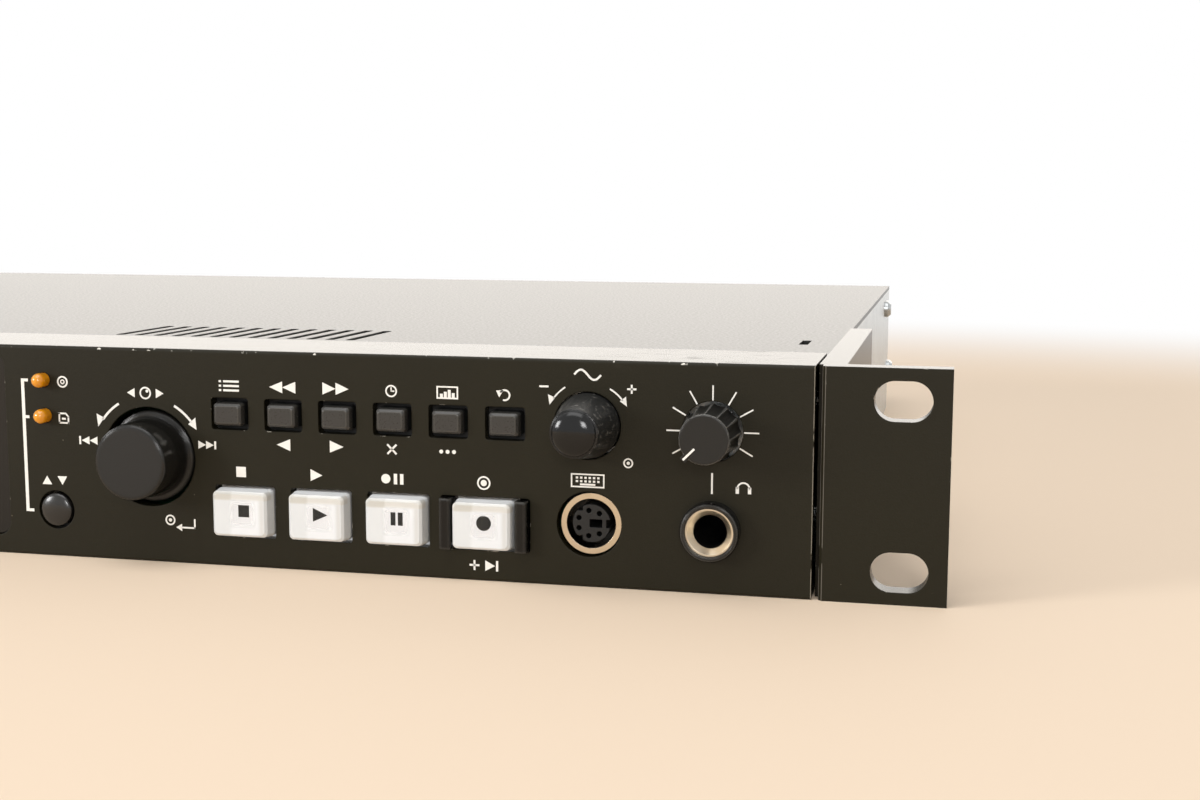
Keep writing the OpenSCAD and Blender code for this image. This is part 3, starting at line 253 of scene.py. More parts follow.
# black anodised aluminium, bead-blasted: satin in front, slicker on the returns, bare metal where an edge is knocked
anodised = {
    "dark": "#1a170d", "light": "#211e12", "cloudMm": 40, "grainMm": 0.35, "rough": (0.38, 0.48), "bump": 0.12,
    "edgeMm": 0.3, "sockets": {"IOR": 1.27},
}
slickReturns = {"returns": (0.5, 0.2), "set": {"Roughness": 0.25}}
knockedEdges = {
    "edge": (0.985, 0.93), "patch": {"mm": (2.2, 2.2, 2.2), "from": 0.63},
    "set": {"Base Color": "#b9b3a6", "Metallic": 0.7, "Roughness": 0.4},
}
strayDust = {"specks": {"mm": 4.2, "size": 0.13, "share": 0.3}, "set": {"Base Color": "#6f685a"}}
topChips = {
    "Z": (43.5, 44.2), "Y": (-0.2, 0.65), "patch": {"mm": (1.7, 1.7, 1.7), "from": 0.63},
    "set": {"Base Color": "#cdc9bf", "Metallic": 0.5, "Roughness": 0.45},
}
stripScuffs = {  # rubbed streaks near the right end of the top strip, where the gloss is gone
    "Z": (43.9, 44.1), "X": (176, 214), "soft": 12, "patch": {"mm": (9, 0.9, 4), "from": 0.6},
    "set": {"Roughness": 0.55, "Base Color": "#2c281f"},
}
panelEndHighlights = {  # the corner edge at each end painted pale in broken patches: a painted highlight standing for a chamfer that catches the light
    "X": (216.38, 216.7), "bothEnds": True, "Y": (-0.2, 0.3), "patch": {"mm": (5, 5, 5), "from": 0.38},
    "set": {"Base Color": "#938d80", "Roughness": 0.4},
}
earChamferHighlights = [  # two fine lines painted along the inner edge of each ear: painted highlights on its chamfer
    {
        "X": limits, "bothEnds": True, "Y": (-0.2, 0.8), "patch": {"mm": (5, 5, 5), "from": 0.38},
        "set": {"Base Color": "#67625a", "Roughness": 0.35},
    }
    for limits in ((217.75, 217.88), (218.34, 218.48))
]
# moulded ABS, satin from a spark-eroded tool
mouldedAbs = {"cloudMm": 12, "grainMm": 0.3, "bump": 0.1, "edgeMm": 0.2}
# clear acrylic over a white diffusing back: only the window over the core is seen through
keyCap = {
    "dark": "#d2d5d7", "light": "#d8dbdc", "cloudMm": 3, "grainMm": 1.0, "rough": (0.04, 0.08), "bump": 0.004,
    "edgeMm": 0.25, "sockets": {"IOR": 1.49, "Alpha": 1.0}, "lightPasses": 0.95,
}

looks = {
    "blackAnodisedPanel": dict(
        anodised, zones=[slickReturns, stripScuffs, knockedEdges, topChips, panelEndHighlights, strayDust]),
    "blackAnodisedEars": dict(anodised, zones=[slickReturns, knockedEdges, *earChamferHighlights, strayDust]),
    # black powder coat on sheet steel: a fine orange-peel skin, drawn a little coarser than it is
    "blackPowderCoat": {
        "dark": "#1b1a18", "light": "#23221f", "cloudMm": 60, "grainMm": 0.7, "rough": (0.3, 0.4), "bump": 0.12,
        "edgeMm": 0.25, "sockets": {"IOR": 1.42}, "zones": [strayDust],
    },
    # zinc-plated sheet steel with a clear passivate
    "zincPlatedSteel": {
        "dark": "#a8abac", "light": "#c3c5c4", "cloudMm": 9, "grainMm": 0.5, "rough": (0.24, 0.38), "bump": 0.08,
        "edgeMm": 0.15, "sockets": {"Metallic": 1.0},
    },
    "mouldedBlackAbs": dict(mouldedAbs, dark="#141413", light="#1b1a19", rough=(0.38, 0.5), sockets={"IOR": 1.42}),
    # moulded ABS from a polished tool
    "glossBlackAbs": dict(
        mouldedAbs, dark="#0c0c0c", light="#121211", rough=(0.1, 0.16), bump=0.02, edgeMm=0.3, sockets={"IOR": 1.5}),
    # moulded ABS, polished, with well-rounded edges, the front edges painted lighter as a painted highlight
    "roundedBlackAbs": dict(
        mouldedAbs, dark="#0b0b0a", light="#11100f", rough=(0.14, 0.2), bump=0.01, edgeMm=0.8, sockets={"IOR": 1.36},
        zones=[{"edge": (0.98, 0.9), "Y": (-4, -0.2), "set": {"Base Color": "#4a4844"}}]),
    # button ABS, a broad soft shine
    "satinBlackAbs": dict(
        mouldedAbs, dark="#1a1917", light="#211f1d", rough=(0.2, 0.25), bump=0.02, sockets={"IOR": 1.52}),
    # jog knob ABS: polished sides and rim, fine texture on the flat face
    "jogBlackAbs": dict(
        mouldedAbs, dark="#191816", light="#201f1c", rough=(0.12, 0.16), bump=0.004, edgeMm=1.0,
        sockets={"IOR": 1.43}, zones=[
            {"Y": (-9, -7.975), "soft": 0.03, "set": {"Roughness": 0.4, "Base Color": "#131210"}},
            {"edge": (0.995, 0.97), "set": {"Roughness": 0.12}},
        ]),
    # pitch knob ABS: polished end, side gone dull and scuffed
    "pitchBlackAbs": dict(
        mouldedAbs, dark="#1d1d1c", light="#262625", rough=(0.34, 0.44), bump=0.05, edgeMm=0.5,
        sockets={"IOR": 1.43}, zones=[
            {
                "Y": (-10.9, 0), "patch": {"mm": (0.9, 0.9, 0.9), "from": 0.6},
                "set": {"Base Color": "#5c5a56", "Roughness": 0.45},
            },
            {"Y": (-13, -10.85), "soft": 0.2, "set": {"Roughness": 0.1, "Base Color": "#070707"}},
        ]),
    # headphone knob ABS: satin, the ridges and rim painted pale as a painted highlight
    "phonesBlackAbs": dict(
        mouldedAbs, dark="#171614", light="#1e1d1b", rough=(0.28, 0.36), bump=0.02, edgeMm=0.3, sockets={"IOR": 1.38},
        zones=[{"edge": (0.975, 0.9), "Y": (-10.45, 0), "set": {"Base Color": "#a5a39d", "Roughness": 0.25}}]),
    # dark grey key ABS, satin; its edges painted lighter as a painted highlight, and its sides behind the panel face
    # painted near black as painted shade in the recess
    "keyGreyAbs": dict(
        mouldedAbs, dark="#2b2927", light="#31302d", rough=(0.26, 0.34), bump=0.015, edgeMm=0.35,
        sockets={"IOR": 1.48}, zones=[
            {"edge": (0.99, 0.95), "set": {"Base Color": "#56544f", "Roughness": 0.2}},
            {"Y": (0.3, 40), "soft": 0.6, "set": {"Base Color": "#0b0b0a", "Roughness": 0.6}},
        ]),
    # tray-grade grey ABS
    "trayGreyAbs": dict(
        mouldedAbs, dark="#3d3d3d", light="#464645", cloudMm=20, rough=(0.42, 0.54), sockets={"IOR": 1.46}),
    # white ABS light guide
    "whiteAbs": dict(mouldedAbs, dark="#dadbdd", light="#dfe0e2", cloudMm=5, rough=(0.35, 0.45), bump=0.03),
    # amber-tinted epoxy lamp
    "amberEpoxy": {
        "dark": "#cb7a04", "light": "#ec9e0b", "cloudMm": 1.5, "grainMm": 0.4, "rough": (0.05, 0.08), "bump": 0.002,
        "edgeMm": 0.1, "sockets": {"IOR": 1.3, "Coat Weight": 1.0, "Coat Roughness": 0.07},
    },
    # bright nickel plate on turned brass
    "brightNickel": {
        "dark": "#c8baa2", "light": "#dacebb", "cloudMm": 3, "grainMm": 0.4, "rough": (0.1, 0.2), "bump": 0.02,
        "edgeMm": 0.12, "sockets": {"Metallic": 1.0},
    },
    # nickel lip of the headphone jack, black nylon bore behind it
    "jackNickel": {
        "dark": "#c8baa2", "light": "#dacebb", "cloudMm": 3, "grainMm": 0.4, "rough": (0.3, 0.34), "bump": 0.002,
        "edgeMm": 0.1, "sockets": {"Metallic": 1.0},
        "zones": [{
            "Y": (-0.98, 60), "soft": 0.05,
            "set": {"Base Color": "#0e0d0b", "Metallic": 0.0, "Roughness": 0.35},
        }],
    },
    # green solder resist on glass epoxy
    "solderResist": {
        "dark": "#123f26", "light": "#1c5534", "cloudMm": 4, "grainMm": 0.8, "rough": (0.3, 0.4), "bump": 0.1,
        "edgeMm": 0.1,
    },
    # plain aluminium sheet cage
    "plainAluminium": {
        "dark": "#b4b5b5", "light": "#cacbca", "cloudMm": 14, "grainMm": 0.6, "rough": (0.3, 0.44), "bump": 0.06,
        "edgeMm": 0.2, "sockets": {"Metallic": 1.0},
    },
    # smoked acrylic window, polished
    "smokedAcrylic": {
        "dark": "#0b0b0b", "light": "#101010", "cloudMm": 50, "grainMm": 2.0, "rough": (0.06, 0.1), "bump": 0.01,
        "edgeMm": 0.2, "sockets": {"IOR": 1.45},
    },
    # coated glass lens
    "lensGlass": {
        "dark": "#1b2440", "light": "#2b3a66", "cloudMm": 1.5, "grainMm": 1.0, "rough": (0.03, 0.05), "bump": 0.002,
        "edgeMm": 0.05, "sockets": {"IOR": 1.6},
    },
    # white screen-printing ink, thin and a little chalky
    "whiteInk": {
        "dark": "#dedcd6", "light": "#eeede8", "cloudMm": 1.2, "grainMm": 0.15, "rough": (0.5, 0.65), "bump": 0.05,
        "edgeMm": 0.02,
    },
    # dark grey pad-printing ink
    "greyInk": {
        "dark": "#201e1a", "light": "#2a2823", "cloudMm": 1.0, "grainMm": 0.15, "rough": (0.5, 0.65), "bump": 0.05,
        "edgeMm": 0.02, "sockets": {"IOR": 1.2},
    },
}
# Painted light and shade in a cap: its top painted near white as a painted highlight, grey bands at the top and sides
# as painted shade, a whiter column painted where the core shows through, then its clear window and clear inside; X and
# Z are from the cap's middle
capLightAndShade = [
    {"Z": (4.4, 6), "soft": 0.1, "set": {"Base Color": "#f4f5f5"}},
    {"X": (-7, 7), "Z": (2.9, 4.5), "Y": (-4, -1), "soft": 0.3, "set": {"Base Color": "#d0cfca"}},
    {"X": (-5.4, -1.7), "Z": (2.9, 4.4), "Y": (-4, -1), "soft": 0.5, "set": {"Base Color": "#c3c1ba"}},
    {"X": (4.2, 5.2), "Z": (-4.2, 2.9), "Y": (-4, -1), "soft": 0.5, "set": {"Base Color": "#cfd0cf"}},
    {"X": (-1.9, 4.2), "Z": (-5, 2.9), "Y": (-4, -1), "soft": 0.8, "set": {"Base Color": "#dfe2e5"}},
    {"X": (-1.8, 3.0), "Z": (-2.2, 2.5), "Y": (-4, -2), "soft": 1.2, "set": {"Alpha": 0.02}},
    {"X": (-4.6, 4.6), "Z": (-3.7, 3.7), "Y": (-2, 0), "set": {"Alpha": 0.0}},
]
keyNames = ("stop", "play", "pause", "record")
for key in keyNames:
    lowCorner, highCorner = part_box(key + "_cap")
    middle = {"X": (lowCorner.x + highCorner.x) / 2 / mm, "Z": (lowCorner.z + highCorner.z) / 2 / mm}
    zones = []
    for tone in capLightAndShade:
        moved = {axis: [middle[axis] + limit for limit in tone[axis]] for axis in middle if axis in tone}
        zones.append({**tone, **moved})
    looks[key + "Acrylic"] = dict(keyCap, zones=zones)
finishes = {name: surface(name, look) for name, look in looks.items()}

slotFinish = {
    "panel_black": "blackAnodisedPanel", "ear_black": "blackAnodisedEars", "cover_black": "blackPowderCoat",
    "zinc_steel": "zincPlatedSteel", "window_acrylic": "smokedAcrylic", "black_plastic": "mouldedBlackAbs",
    "black_gloss": "glossBlackAbs", "knob_black": "jogBlackAbs", "key_grey": "keyGreyAbs", "tray_grey": "trayGreyAbs",
    "white_plastic": "whiteAbs", "cap_clear": "stopAcrylic", "lamp_amber": "amberEpoxy", "nickel": "brightNickel",
    "board_green": "solderResist", "supply_case": "plainAluminium",
}
ownFinish = {
    "pitch_knob": "pitchBlackAbs", "phones_knob": "phonesBlackAbs", "select_button": "satinBlackAbs",
    "phones_jack": "jackNickel", "record_guard": "roundedBlackAbs", "phones_ferrule": "roundedBlackAbs",
    **{key + "_cap": key + "Acrylic" for key in keyNames},
}
for part in frame["record"]["subparts"]:
    finishName = ownFinish.get(part["node"], slotFinish[part["material_slot"]])
    for materialSlot in nodes[part["node"]].material_slots:
        materialSlot.material = finishes[finishName]
print("finishes:", len(finishes), "materials on", len(nodes), "nodes")


# Flat marks: every shape is a list of solids, each a (kind, points) pair in panel millimetres, x and z
def line(x0, z0, x1, z1, wide):
    run = Vector((x1 - x0, z1 - z0)).normalized() * wide / 2
    return ("plate", [
        (x0 + run.y, z0 - run.x), (x1 + run.y, z1 - run.x), (x1 - run.y, z1 + run.x), (x0 - run.y, z0 + run.x),
    ])


def dot(x, z, r, count=24):
    turns = [2 * math.pi * i / count for i in range(count)]
    return ("plate", [(x + r * math.cos(t), z + r * math.sin(t)) for t in turns])


def arc(x, z, r, wide, start, end, count=20):
    turns = [math.radians(start + (end - start) * i / count) for i in range(count + 1)]
    inner = [(x + (r - wide / 2) * math.cos(t), z + (r - wide / 2) * math.sin(t)) for t in turns]
    outer = [(x + (r + wide / 2) * math.cos(t), z + (r + wide / 2) * math.sin(t)) for t in turns]
    return ("band", (inner, outer, abs(end - start) >= 360))


def wave(x, z, length, height, wide, count=28):
    inner, outer = [], []
    for i in range(count + 1):
        t = 2 * math.pi * i / count
        p = Vector((x + length * (i / count - 0.5), z + height / 2 * math.sin(t)))
        side = Vector((-height / 2 * math.cos(t) * 2 * math.pi / length, 1)).normalized() * wide / 2
        inner.append((p.x - side.x, p.y - side.y))
        outer.append((p.x + side.x, p.y + side.y))
    return ("band", (inner, outer, False))


def block(x, z, wide, high):
    left, right, low, top = x - wide / 2, x + wide / 2, z - high / 2, z + high / 2
    return ("plate", [(left, low), (right, low), (right, top), (left, top)])


def pointer(x, z, wide, high):  # a triangle that points right, or left when wide is negative
    return ("plate", [(x - wide / 2, z - high / 2), (x + wide / 2, z), (x - wide / 2, z + high / 2)])


def frameBox(x, z, wide, high, t):
    return [
        block(x, z + (high - t) / 2, wide, t), block(x, z - (high - t) / 2, wide, t),
        block(x - (wide - t) / 2, z, t, high - 2 * t), block(x + (wide - t) / 2, z, t, high - 2 * t),
    ]


def printed(name, shapes, face, thick, finish, body):
    mesh = bmesh.new()
    front, back = face - thick * mm, face

    def corner(point, y):
        return mesh.verts.new((point[0] * mm, y, point[1] * mm))

    for kind, points in shapes:
        if kind == "plate":
            near = [corner(p, front) for p in points]
            far = [corner(p, back) for p in points]
            mesh.faces.new(near)
            mesh.faces.new(far[::-1])
            for i in range(len(points)):
                j = (i + 1) % len(points)
                mesh.faces.new((near[i], far[i], far[j], near[j]))
        else:
            inner, outer, closed = points
            if closed:
                inner, outer = inner[:-1], outer[:-1]
            rows = [[corner(p, y) for p in side] for y in (front, back) for side in (inner, outer)]
            count = len(inner)
            for i in range(count if closed else count - 1):
                j = (i + 1) % count
                for a, b in ((0, 1), (1, 3), (3, 2), (2, 0)):
                    mesh.faces.new((rows[a][i], rows[b][i], rows[b][j], rows[a][j]))
            if not closed:
                for i in (0, count - 1):
                    mesh.faces.new((rows[0][i], rows[1][i], rows[3][i], rows[2][i]))
    bmesh.ops.recalc_face_normals(mesh, faces=mesh.faces)
    shape = bpy.data.meshes.new(name)
    mesh.to_mesh(shape)
    mesh.free()
    shape.materials.append(finishes[finish])
    piece = bpy.data.objects.new(name, shape)
    bpy.context.scene.collection.objects.link(piece)
    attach(piece, body)
    return piece


# Panel print: the lamp bracket, turn arrows and skip signs as seen, and small plain signs in the places of words
panelPrint = {"thick": 0.03, "keyThick": 0.02, "jog": (81.9, 21.8), "pitch": (174.0, 31.4)}
jogX, jogZ = panelPrint["jog"]
pitchX, pitchZ = panelPrint["pitch"]
marks = [
    # bracket that joins the two lamps and the select button
    line(53.75, 37.05, 53.75, 9.2, 0.72), line(54.1, 36.75, 55.0, 36.75, 0.6),
    line(54.1, 29.1, 55.0, 29.1, 0.6), line(54.1, 9.5, 55.2, 9.5, 0.6),
    # turn arrows round the jog and pitch knobs
    arc(jogX, jogZ, 12.45, 0.48, 121, 144), ("plate", [(70.4, 30.3), (72.1, 29.5), (70.7, 27.6)]),
    arc(jogX, jogZ, 12.15, 0.48, 61, 38), ("plate", [(90.8, 28.8), (92.4, 30.2), (92.6, 27.7)]),
    arc(pitchX, pitchZ, 8.65, 0.3, 123, 144), ("plate", [(165.9, 37.2), (167.3, 36.6), (166.2, 35.2)]),
    arc(pitchX, pitchZ, 8.2, 0.3, 61, 38), ("plate", [(179.9, 36.3), (181.1, 37.2), (181.3, 35.3)]),
    line(164.2, 38.7, 166.0, 38.7, 0.36), line(181.3, 38.65, 183.1, 38.65, 0.36), line(182.2, 37.8, 182.2, 39.5, 0.36),
    # skip and search signs
    block(66.45, 24.65, 0.42, 1.7), pointer(67.7, 24.65, -1.75, 1.7), pointer(69.5, 24.65, -1.75, 1.7),
    pointer(93.75, 24.7, 1.7, 1.65), pointer(95.45, 24.7, 1.7, 1.65), block(96.6, 24.7, 0.42, 1.65),
    pointer(110.0, 36.9, -2.8, 2.35), pointer(112.8, 36.9, -2.8, 2.35),
    pointer(121.3, 36.95, 2.75, 2.4), pointer(124.05, 36.95, 2.75, 2.4),
    pointer(111.4, 25.35, -2.9, 2.4), pointer(122.7, 25.4, 2.9, 2.4),
    # disc and card signs beside the lamps, up and down at the select button
    arc(62.9, 36.6, 1.05, 0.34, 0, 360), arc(62.9, 36.6, 0.38, 0.26, 0, 360),
    line(61.9, 27.95, 61.9, 30.2, 0.34), line(61.73, 30.05, 63.3, 30.05, 0.34), line(63.25, 30.15, 64.05, 29.3, 0.34),
    line(63.95, 29.4, 63.95, 27.95, 0.34), line(61.73, 28.1, 64.12, 28.1, 0.34), block(62.9, 28.95, 0.9, 0.4),
    ("plate", [(57.4, 15.1), (59.6, 15.1), (58.5, 16.9)]), ("plate", [(60.9, 16.9), (63.1, 16.9), (62.0, 15.1)]),
    # dial sign over the jog knob, press sign below it
    arc(81.5, 34.85, 1.12, 0.34, 0, 360), dot(81.9, 35.25, 0.32),
    pointer(78.3, 34.85, -1.7, 1.9), pointer(84.7, 34.85, 1.7, 1.9),
    arc(86.2, 8.9, 0.95, 0.32, 0, 360), dot(86.2, 8.9, 0.36),
    line(91.6, 9.3, 91.6, 7.3, 0.34), line(91.77, 7.45, 88.6, 7.45, 0.34), pointer(88.1, 7.45, -1.3, 1.5),
    # signs over and under the small keys: list, clock, meter, return, cross, dots
    block(98.0, 37.75, 0.5, 0.42), block(100.4, 37.75, 3.4, 0.42), block(98.0, 36.85, 0.5, 0.42),
    block(100.4, 36.85, 3.4, 0.42), block(98.0, 35.95, 0.5, 0.42), block(100.4, 35.95, 3.4, 0.42),
    arc(134.25, 36.85, 1.06, 0.32, 0, 360), line(134.25, 36.75, 134.25, 37.6, 0.28),
    line(134.15, 36.85, 134.9, 36.85, 0.28),
    block(144.55, 36.3, 0.6, 0.7), block(145.35, 36.5, 0.6, 1.1), block(146.15, 36.7, 0.6, 1.5),
    block(146.95, 36.4, 0.6, 0.9),
    arc(157.3, 36.75, 0.98, 0.34, -110, 150), ("plate", [(155.6, 37.6), (157.1, 37.75), (156.2, 36.3)]),
    line(133.3, 24.4, 135.2, 26.3, 0.4), line(133.3, 26.3, 135.2, 24.4, 0.4),
    dot(144.4, 25.3, 0.4), dot(145.7, 25.3, 0.4), dot(147.0, 25.3, 0.4),
    # signs over the transport keys and under the record key
    block(102.1, 19.5, 2.1, 2.1), pointer(118.3, 19.5, 2.5, 2.4),
    dot(132.9, 19.45, 0.95), block(134.9, 19.45, 0.7, 2.1), block(136.2, 19.45, 0.7, 2.1),
    arc(153.0, 19.45, 1.2, 0.32, 0, 360), dot(153.0, 19.45, 0.62),
    line(150.0, 3.1, 152.0, 3.1, 0.4), line(151.0, 2.1, 151.0, 4.1, 0.4),
    pointer(154.2, 3.1, 2.0, 2.1), block(155.6, 3.1, 0.45, 2.1),
    # tone sign over the pitch knob, press sign beside it
    wave(173.65, 41.15, 5.2, 1.9, 0.4), arc(181.6, 24.5, 0.82, 0.28, 0, 360), dot(181.6, 24.5, 0.32),
    # keyboard and headphone signs
    *frameBox(173.7, 20.8, 6.6, 2.7, 0.28), *[block(171.6 + 0.84 * i, 21.35, 0.46, 0.4) for i in range(6)],
    *[block(171.6 + 0.84 * i, 20.65, 0.46, 0.4) for i in range(6)], block(173.7, 20.05, 3.0, 0.36),
    arc(203.6, 20.5, 1.15, 0.32, 0, 180), block(202.45, 20.2, 0.62, 1.25), block(204.75, 20.2, 0.62, 1.25),
    line(197.66, 23.3, 197.66, 19.3, 0.34),
]
marks += frameBox(145.75, 36.9, 4.4, 2.5, 0.3)
printed("panelPrint", marks, panelFace, panelPrint["thick"], "whiteInk", "chassis")

# Signs on the left of the panel: off and on at the power switch, a card under its slot
leftSigns = [
    line(-200.0, 37.4, -200.0, 34.6, 0.4), arc(-200.0, 8.0, 1.2, 0.36, 0, 360),
    *frameBox(-123.0, 3.0, 3.6, 2.6, 0.3), block(-123.0, 3.3, 1.6, 0.5),
]
printed("leftPrint", leftSigns, panelFace, panelPrint["thick"], "whiteInk", "chassis")
ejectSign = [("plate", [(-71.3, 31.6), (-68.7, 31.6), (-70.0, 33.2)]), block(-70.0, 31.0, 2.6, 0.5)]
printed("ejectPrint", ejectSign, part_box("tray_front")[0].y, panelPrint["thick"], "whiteInk", "tray")

# Signs on the white cores, under the clear caps
keySigns = {
    "stop": [block(102.6, 11.55, 2.35, 2.45)],
    "play": [pointer(119.05, 11.55, 3.1, 2.8)],
    "pause": [block(134.4, 11.55, 1.0, 2.65), block(135.9, 11.55, 1.0, 2.65)],
    "record": [dot(153.0, 11.55, 1.5, 40)],
}
for key, shapes in keySigns.items():
    printed(key + "Sign", shapes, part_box(key + "_core")[0].y, panelPrint["keyThick"], "greyInk", key)

# Pointer line along the nose of the headphone knob
knobLine = {"from": (195.95, 29.4), "to": (193.87, 27.32), "wide": 0.4}
knobMark = [line(*knobLine["from"], *knobLine["to"], knobLine["wide"])]
printed("phonesPointer", knobMark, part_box("phones_knob")[0].y, panelPrint["thick"], "whiteInk", "phones_knob")

# Rear: out and in arrows with one or two dots over the sockets, a wave over the mains inlet, bright inlet blades
rear = {
    "face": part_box("rear_panel")[1].y, "signs": 38.9, "out": (50, 82), "in": (124, 156), "inlet": -170, "rise": 21,
    "depth": 283, "blade": (2.05, 5.05), "bladeLength": 14, "bladeProud": 0.03, "blades": ((-7, 0), (0, 2.5), (7, 0)),
}
rearMarks = [wave(rear["inlet"], rear["signs"], 4.4, 1.6, 0.4)]
for side, way in (("out", -1), ("in", 1)):
    for count, x in enumerate(rear[side], 1):
        z = rear["signs"]
        rearMarks += [pointer(x, z, 2.2 * way, 2.0), line(x - 3.2 * way, z, x - 1.1 * way, z, 0.5)]
        rearMarks += [dot(x + 3 + 1.1 * i, z, 0.36) for i in range(count)]
printed("rearPrint", rearMarks, rear["face"] + panelPrint["thick"] * mm, panelPrint["thick"], "whiteInk", "chassis")
blades = [block(rear["inlet"] + x, rear["rise"] + z, *rear["blade"]) for x, z in rear["blades"]]
bladeEnd = panelFace + (rear["depth"] + rear["bladeProud"]) * mm
printed("inletBlades", blades, bladeEnd, rear["bladeLength"], "brightNickel", "chassis")
print("print: panel, key signs, pointer and rear")

# Lens in the cup on top of the laser sled
lensSet = {"radius": 2.7, "height": 0.65, "sunk": 0.4}
sledLow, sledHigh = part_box("laser_sled")
trayLow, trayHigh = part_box("disc_tray")
lensBall = bmesh.new()
bmesh.ops.create_uvsphere(lensBall, u_segments=32, v_segments=16, radius=1)
lensPlace = ((trayLow.x + trayHigh.x) / 2, (sledLow.y + sledHigh.y) / 2, sledHigh.z - lensSet["sunk"] * mm)
lensScale = Matrix.Diagonal((lensSet["radius"] * mm, lensSet["radius"] * mm, lensSet["height"] * mm, 1))
lensBall.transform(Matrix.Translation(lensPlace) @ lensScale)
for lensFace in lensBall.faces:
    lensFace.smooth = True
lensShape = bpy.data.meshes.new("pickupLens")
lensBall.to_mesh(lensShape)
lensBall.free()
lensShape.materials.append(finishes["lensGlass"])
lens = bpy.data.objects.new("pickupLens", lensShape)
bpy.context.scene.collection.objects.link(lens)
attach(lens, "sled")
print("lens on the sled")

# Repeats round a ring, as node trees: scale ticks round the headphone knob and pins in the output sockets
scaleMiddle = (0.19765, 0.0311)
scaleTicks = {
    "Count": 9, "First angle": -120.0, "Step": 30.0, "Radius": 7.325 * mm, "Length": 2.85 * mm, "Width": 0.28 * mm,
    "Thickness": 0.03 * mm,
}
contactPins = {
    "Count": 3, "First angle": 60.0, "Step": 120.0, "Radius": 4.0 * mm, "Length": 12.0 * mm, "Pin radius": 1.22 * mm,
    "Tip": 0.7 * mm,
}


def ringTree(name, values):
    tree = bpy.data.node_groups.new(name, "GeometryNodeTree")
    tree.interface.new_socket("Geometry", in_out="OUTPUT", socket_type="NodeSocketGeometry")
    for label, value in values.items():
        kind = "NodeSocketInt" if isinstance(value, int) else "NodeSocketFloat"
        tree.interface.new_socket(label, in_out="INPUT", socket_type=kind).default_value = value
    tree.interface.new_socket("Middle", in_out="INPUT", socket_type="NodeSocketVector")
    tree.interface.new_socket("Finish", in_out="INPUT", socket_type="NodeSocketMaterial")
    given = add(tree, "NodeGroupInput").outputs
    index = add(tree, "GeometryNodeInputIndex").outputs[0]
    degrees = add(tree, "ShaderNodeMath", {
        0: index, 1: given["Step"], 2: given["First angle"],
    }, operation="MULTIPLY_ADD")
    angle = add(tree, "ShaderNodeMath", {0: degrees.outputs[0]}, operation="RADIANS").outputs[0]
    sine = add(tree, "ShaderNodeMath", {0: angle}, operation="SINE").outputs[0]
    cosine = add(tree, "ShaderNodeMath", {0: angle}, operation="COSINE").outputs[0]
    across = add(tree, "ShaderNodeMath", {0: sine, 1: given["Radius"]}, operation="MULTIPLY").outputs[0]
    up = add(tree, "ShaderNodeMath", {0: cosine, 1: given["Radius"]}, operation="MULTIPLY").outputs[0]
    spoke = add(tree, "ShaderNodeCombineXYZ", {0: across, 2: up}).outputs[0]
    spot = add(tree, "ShaderNodeVectorMath", {0: spoke, 1: given["Middle"]}, operation="ADD").outputs[0]
    row = add(tree, "GeometryNodeMeshLine", {"Count": given["Count"]})
    points = add(tree, "GeometryNodeSetPosition", {"Geometry": row.outputs[0], "Position": spot}).outputs[0]
    return tree, given, points, angle


def ringEnd(tree, given, points, shape, rotation):
    copies = add(tree, "GeometryNodeInstanceOnPoints", {"Points": points, "Instance": shape, "Rotation": rotation})
    solid = add(tree, "GeometryNodeRealizeInstances", {"Geometry": copies.outputs[0]})
    painted = add(tree, "GeometryNodeSetMaterial", {"Geometry": solid.outputs[0], "Material": given["Finish"]})
    add(tree, "NodeGroupOutput", {0: painted.outputs[0]})


tickTree, given, points, angle = ringTree("scaleTicks", scaleTicks)
tickSize = add(tickTree, "ShaderNodeCombineXYZ", {0: given["Width"], 1: given["Thickness"], 2: given["Length"]})
bar = add(tickTree, "GeometryNodeMeshCube", {"Size": tickSize.outputs[0]}).outputs[0]
spin = add(tickTree, "ShaderNodeCombineXYZ", {1: angle}).outputs[0]
ringEnd(tickTree, given, points, bar, add(tickTree, "FunctionNodeEulerToRotation", {0: spin}).outputs[0])

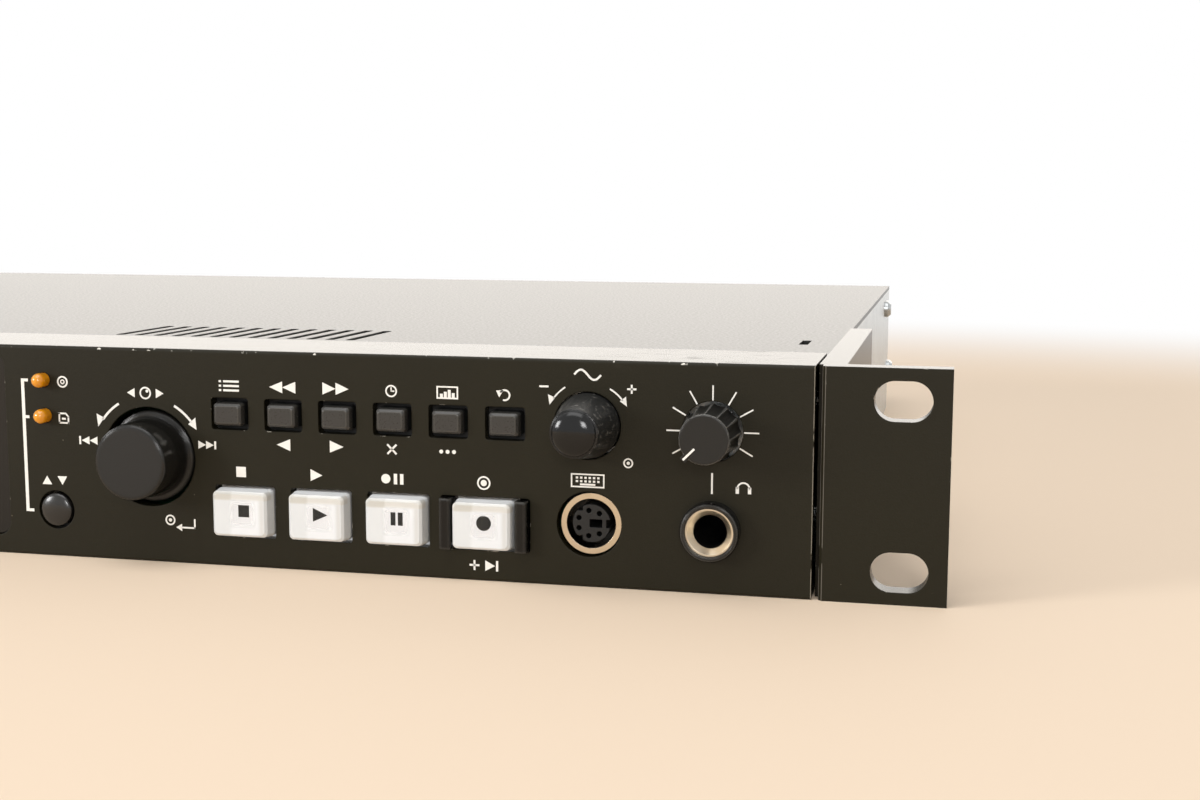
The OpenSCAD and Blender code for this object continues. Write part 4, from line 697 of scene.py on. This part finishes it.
pinTree, given, points, angle = ringTree("contactPins", contactPins)
rod = add(pinTree, "GeometryNodeMeshCylinder", {
    "Vertices": 24, "Radius": given["Pin radius"], "Depth": given["Length"],
})
tipTop = add(pinTree, "ShaderNodeMath", {0: given["Pin radius"], 1: 0.55}, operation="MULTIPLY").outputs[0]
tip = add(pinTree, "GeometryNodeMeshCone", {
    "Vertices": 24, "Radius Top": tipTop, "Radius Bottom": given["Pin radius"], "Depth": given["Tip"],
})
half = add(pinTree, "ShaderNodeMath", {0: given["Length"], 1: 0.5}, operation="MULTIPLY").outputs[0]
lift = add(pinTree, "ShaderNodeCombineXYZ", {2: half}).outputs[0]
raised = add(pinTree, "GeometryNodeTransform", {"Geometry": tip.outputs[0], "Translation": lift}).outputs[0]
pin = add(pinTree, "GeometryNodeJoinGeometry", {0: rod.outputs[0]})
pinTree.links.new(raised, pin.inputs[0])
lay = add(pinTree, "FunctionNodeEulerToRotation", {0: (-math.pi / 2, 0.0, 0.0)}).outputs[0]
ringEnd(pinTree, given, points, pin.outputs[0], lay)


def grown(name, tree, values, body):
    holder = bpy.data.objects.new(name + "Maker", bpy.data.meshes.new(name + "Maker"))
    bpy.context.scene.collection.objects.link(holder)
    modifier = holder.modifiers.new("tree", "NODES")
    modifier.node_group = tree
    for item in tree.interface.items_tree:
        if item.in_out == "INPUT" and item.name in values:
            modifier[item.identifier] = values[item.name]
    ready = holder.evaluated_get(bpy.context.evaluated_depsgraph_get())
    shape = bpy.data.meshes.new_from_object(ready)
    shape.name = name
    bpy.data.objects.remove(holder)
    piece = bpy.data.objects.new(name, shape)
    bpy.context.scene.collection.objects.link(piece)
    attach(piece, body)
    return piece


tickMiddle = (scaleMiddle[0], panelFace - scaleTicks["Thickness"] / 2, scaleMiddle[1])
tickValues = dict(scaleTicks, Middle=tickMiddle, Finish=finishes["whiteInk"])
grown("phonesScale", tickTree, tickValues, "chassis")
for name, x in zip(("pinsFirst", "pinsSecond"), rear["out"]):
    pinMiddle = (x * mm, panelFace + rear["depth"] * mm - contactPins["Length"] / 2, rear["rise"] * mm)
    grown(name, pinTree, dict(contactPins, Middle=pinMiddle, Finish=finishes["brightNickel"]), "chassis")
print("repeats: scale ticks and contact pins")
